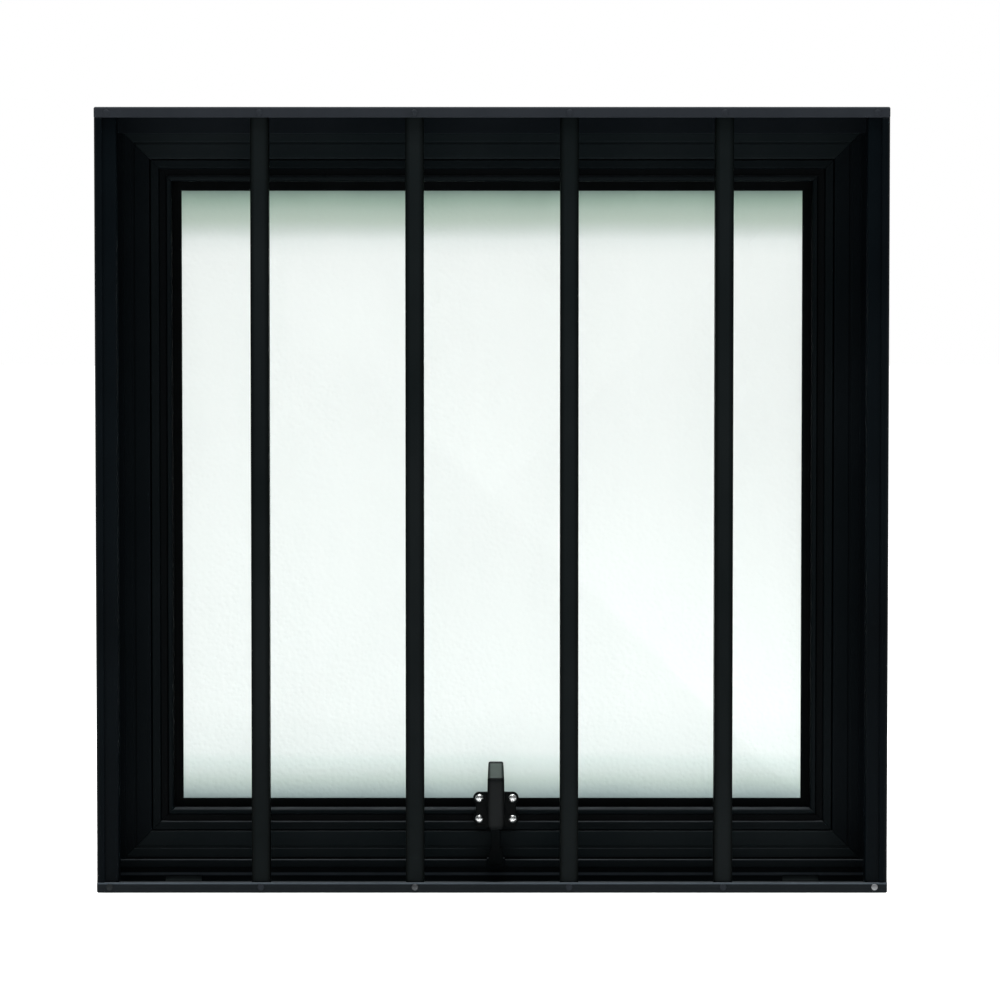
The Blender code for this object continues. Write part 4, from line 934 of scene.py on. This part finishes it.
def latch_tongue():
    """A round eye on the spindle, a neck, and the head that bears on the keeper."""
    low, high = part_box("latch_tongue")
    neck, head_half = 0.0035, 0.0055
    head_top = low.z + 0.012
    head = rounded([(0, low.z), (head_half, low.z), (head_half, head_top - 0.002),
                    (0.0001, head_top + 0.004)], [0.0001, 0.001, 0.0012, 0.0001])[7:21]
    right = np.concatenate([head, [(neck, head_top + 0.0006), (neck, LATCH_Z - 0.0085)],
                            arc((0, LATCH_Z), 0.0075, -60, 90, 16)])
    right = right[right[:, 0] > 0.0002]
    outline = np.concatenate([right, right[::-1] * (-1, 1)]) + (LATCH_X, 0)
    piece("latch_tongue", [slab(outline, low.y, high.y, "Y", edge=0.0004)], "latch_handle",
          TONGUE_COAT, "latch_casting", "latch_tongue")


def latch_spindle():
    low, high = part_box("latch_spindle")
    rim = 0.0003
    shaft, head, head_face = 0.003, 0.005, high.y - 0.002
    profile = [(0.0001, low.y), (shaft - rim, low.y), (shaft, low.y + rim), (shaft, head_face),
               (head, head_face), (head, high.y - rim), (head - rim, high.y), (0.0001, high.y)]
    piece("latch_spindle", [turned(profile, "Y", (LATCH_X, 0, LATCH_Z), 36)], "latch_handle",
          SCREW, "screw_steel", "latch_spindle")


def keeper():
    """A folded cap over the sill's stop, its front corner rounded."""
    low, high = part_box("latch_keeper")
    front, back = low.y, high.y
    inner = front + 0.0022
    top = high.z - 0.0011
    section = rounded([(front, low.z), (inner, low.z), (inner, top), (back, top), (back, high.z),
                       (front, high.z)], [0.0006, 0.0002, 0.0002, 0.0002, 0.0004, 0.0010])
    plate = slab(section, low.x, high.x, "X", edge=0.0004)
    piece("latch_keeper", [plate], "root", COAT, "coated_metal", "latch_keeper")


frame_rail("top", "frame_head", STOP, False)
frame_rail("bottom", "frame_sill", SILL_STOP, True)
jamb("left")
jamb("right")
frame_seal()
corner_screws()
bars()
rivets()
sash_rails()
glazing_beads()
glazing()
stays()
latch_base()
latch_screws()
latch_lever()
latch_tongue()
latch_spindle()
keeper()

for name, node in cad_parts.items():
    finish = MILL if name.startswith("corner_cleat") else COAT
    for holder in node.material_slots:
        holder.material = finish


# ================================================================ studio
def white_room():
    """White surroundings; what the surfaces reflect is dimmer on the room side than outside."""
    world = bpy.data.worlds.new("white_room")
    world.use_nodes = True
    tree = world.node_tree
    direction = tree.nodes.new("ShaderNodeTexCoord").outputs["Generated"]
    parts = tree.nodes.new("ShaderNodeSeparateXYZ")
    tree.links.new(direction, parts.inputs[0])
    across, upwards = Field(tree, parts.outputs["Y"]), Field(tree, parts.outputs["Z"])
    outside = across.above(-0.35, 0.10)
    sky = upwards.above(0.35, 0.95)
    glow = 0.12 + outside * 0.88 + (1.0 - outside) * sky * 0.6
    unseen = tree.nodes["Background"]
    tree.links.new(glow.socket, unseen.inputs["Strength"])
    unseen.inputs["Color"].default_value = (1.0, 1.0, 1.0, 1.0)
    seen = tree.nodes.new("ShaderNodeBackground")
    seen.inputs["Color"].default_value = (1.0, 1.0, 1.0, 1.0)
    choice = tree.nodes.new("ShaderNodeMixShader")
    tree.links.new(tree.nodes.new("ShaderNodeLightPath").outputs["Is Camera Ray"], choice.inputs[0])
    tree.links.new(unseen.outputs[0], choice.inputs[1])
    tree.links.new(seen.outputs[0], choice.inputs[2])
    tree.links.new(choice.outputs[0], tree.nodes["World Output"].inputs["Surface"])
    return world


def studio():
    """Pale floor, white surroundings, soft light from above and a little from behind."""
    size = 40.0
    mesh = bpy.data.meshes.new("floor")
    mesh.from_pydata([(-size, -size, 0), (size, -size, 0), (size, size, 0), (-size, size, 0)], [],
                     [(0, 1, 2, 3)])
    paper = Finish("floor_paper", Specular_IOR_Level=0.1, Emission_Strength=0.55)
    tone = paper.blend(paper.noise(3.0, 3.0), (0.94, 0.94, 0.94), (0.97, 0.97, 0.97))
    paper.set(Base_Color=tone, Emission_Color=tone)
    paper.shader.inputs["Roughness"].default_value = 0.9
    mesh.materials.append(paper.material)
    floor = bpy.data.objects.new("floor", mesh)
    bpy.context.scene.collection.objects.link(floor)

    bpy.context.scene.world = white_room()

    for name, place, aim, width, height, energy in (
            ("overhead", (0.0, -0.34, 2.2), (0, -0.05, 0.3), 1.8, 0.36, 42.0),
            ("behind", (0.0, 1.6, 1.5), (0, 0, 0.3), 1.4, 1.4, 10.0)):
        light = bpy.data.lights.new(name, "AREA")
        light.shape = "RECTANGLE"
        light.size, light.size_y, light.energy = width, height, energy
        lamp = bpy.data.objects.new(name, light)
        lamp.location = place
        lamp.rotation_euler = (Vector(aim) - Vector(place)).to_track_quat("-Z", "Y").to_euler()
        bpy.context.scene.collection.objects.link(lamp)


def camera():
    """In front of the middle of the window, a little above it."""
    middle = Vector(((LEFT + RIGHT) / 2, FRONT, (SILL_FACE + HEAD_FACE) / 2))
    lens = bpy.data.cameras.new("camera")
    lens.lens = 143.0
    lens.sensor_width = 36.0
    lens.shift_x = 0.008
    lens.shift_y = 0.0016
    eye = bpy.data.objects.new("camera", lens)
    eye.location = (0.0, FRONT - 3.0, 0.430)
    eye.rotation_euler = (middle - eye.location).to_track_quat("-Z", "Y").to_euler()
    bpy.context.scene.collection.objects.link(eye)
    bpy.context.scene.camera = eye


studio()
camera()
bpy.context.scene.view_settings.view_transform = "Standard"
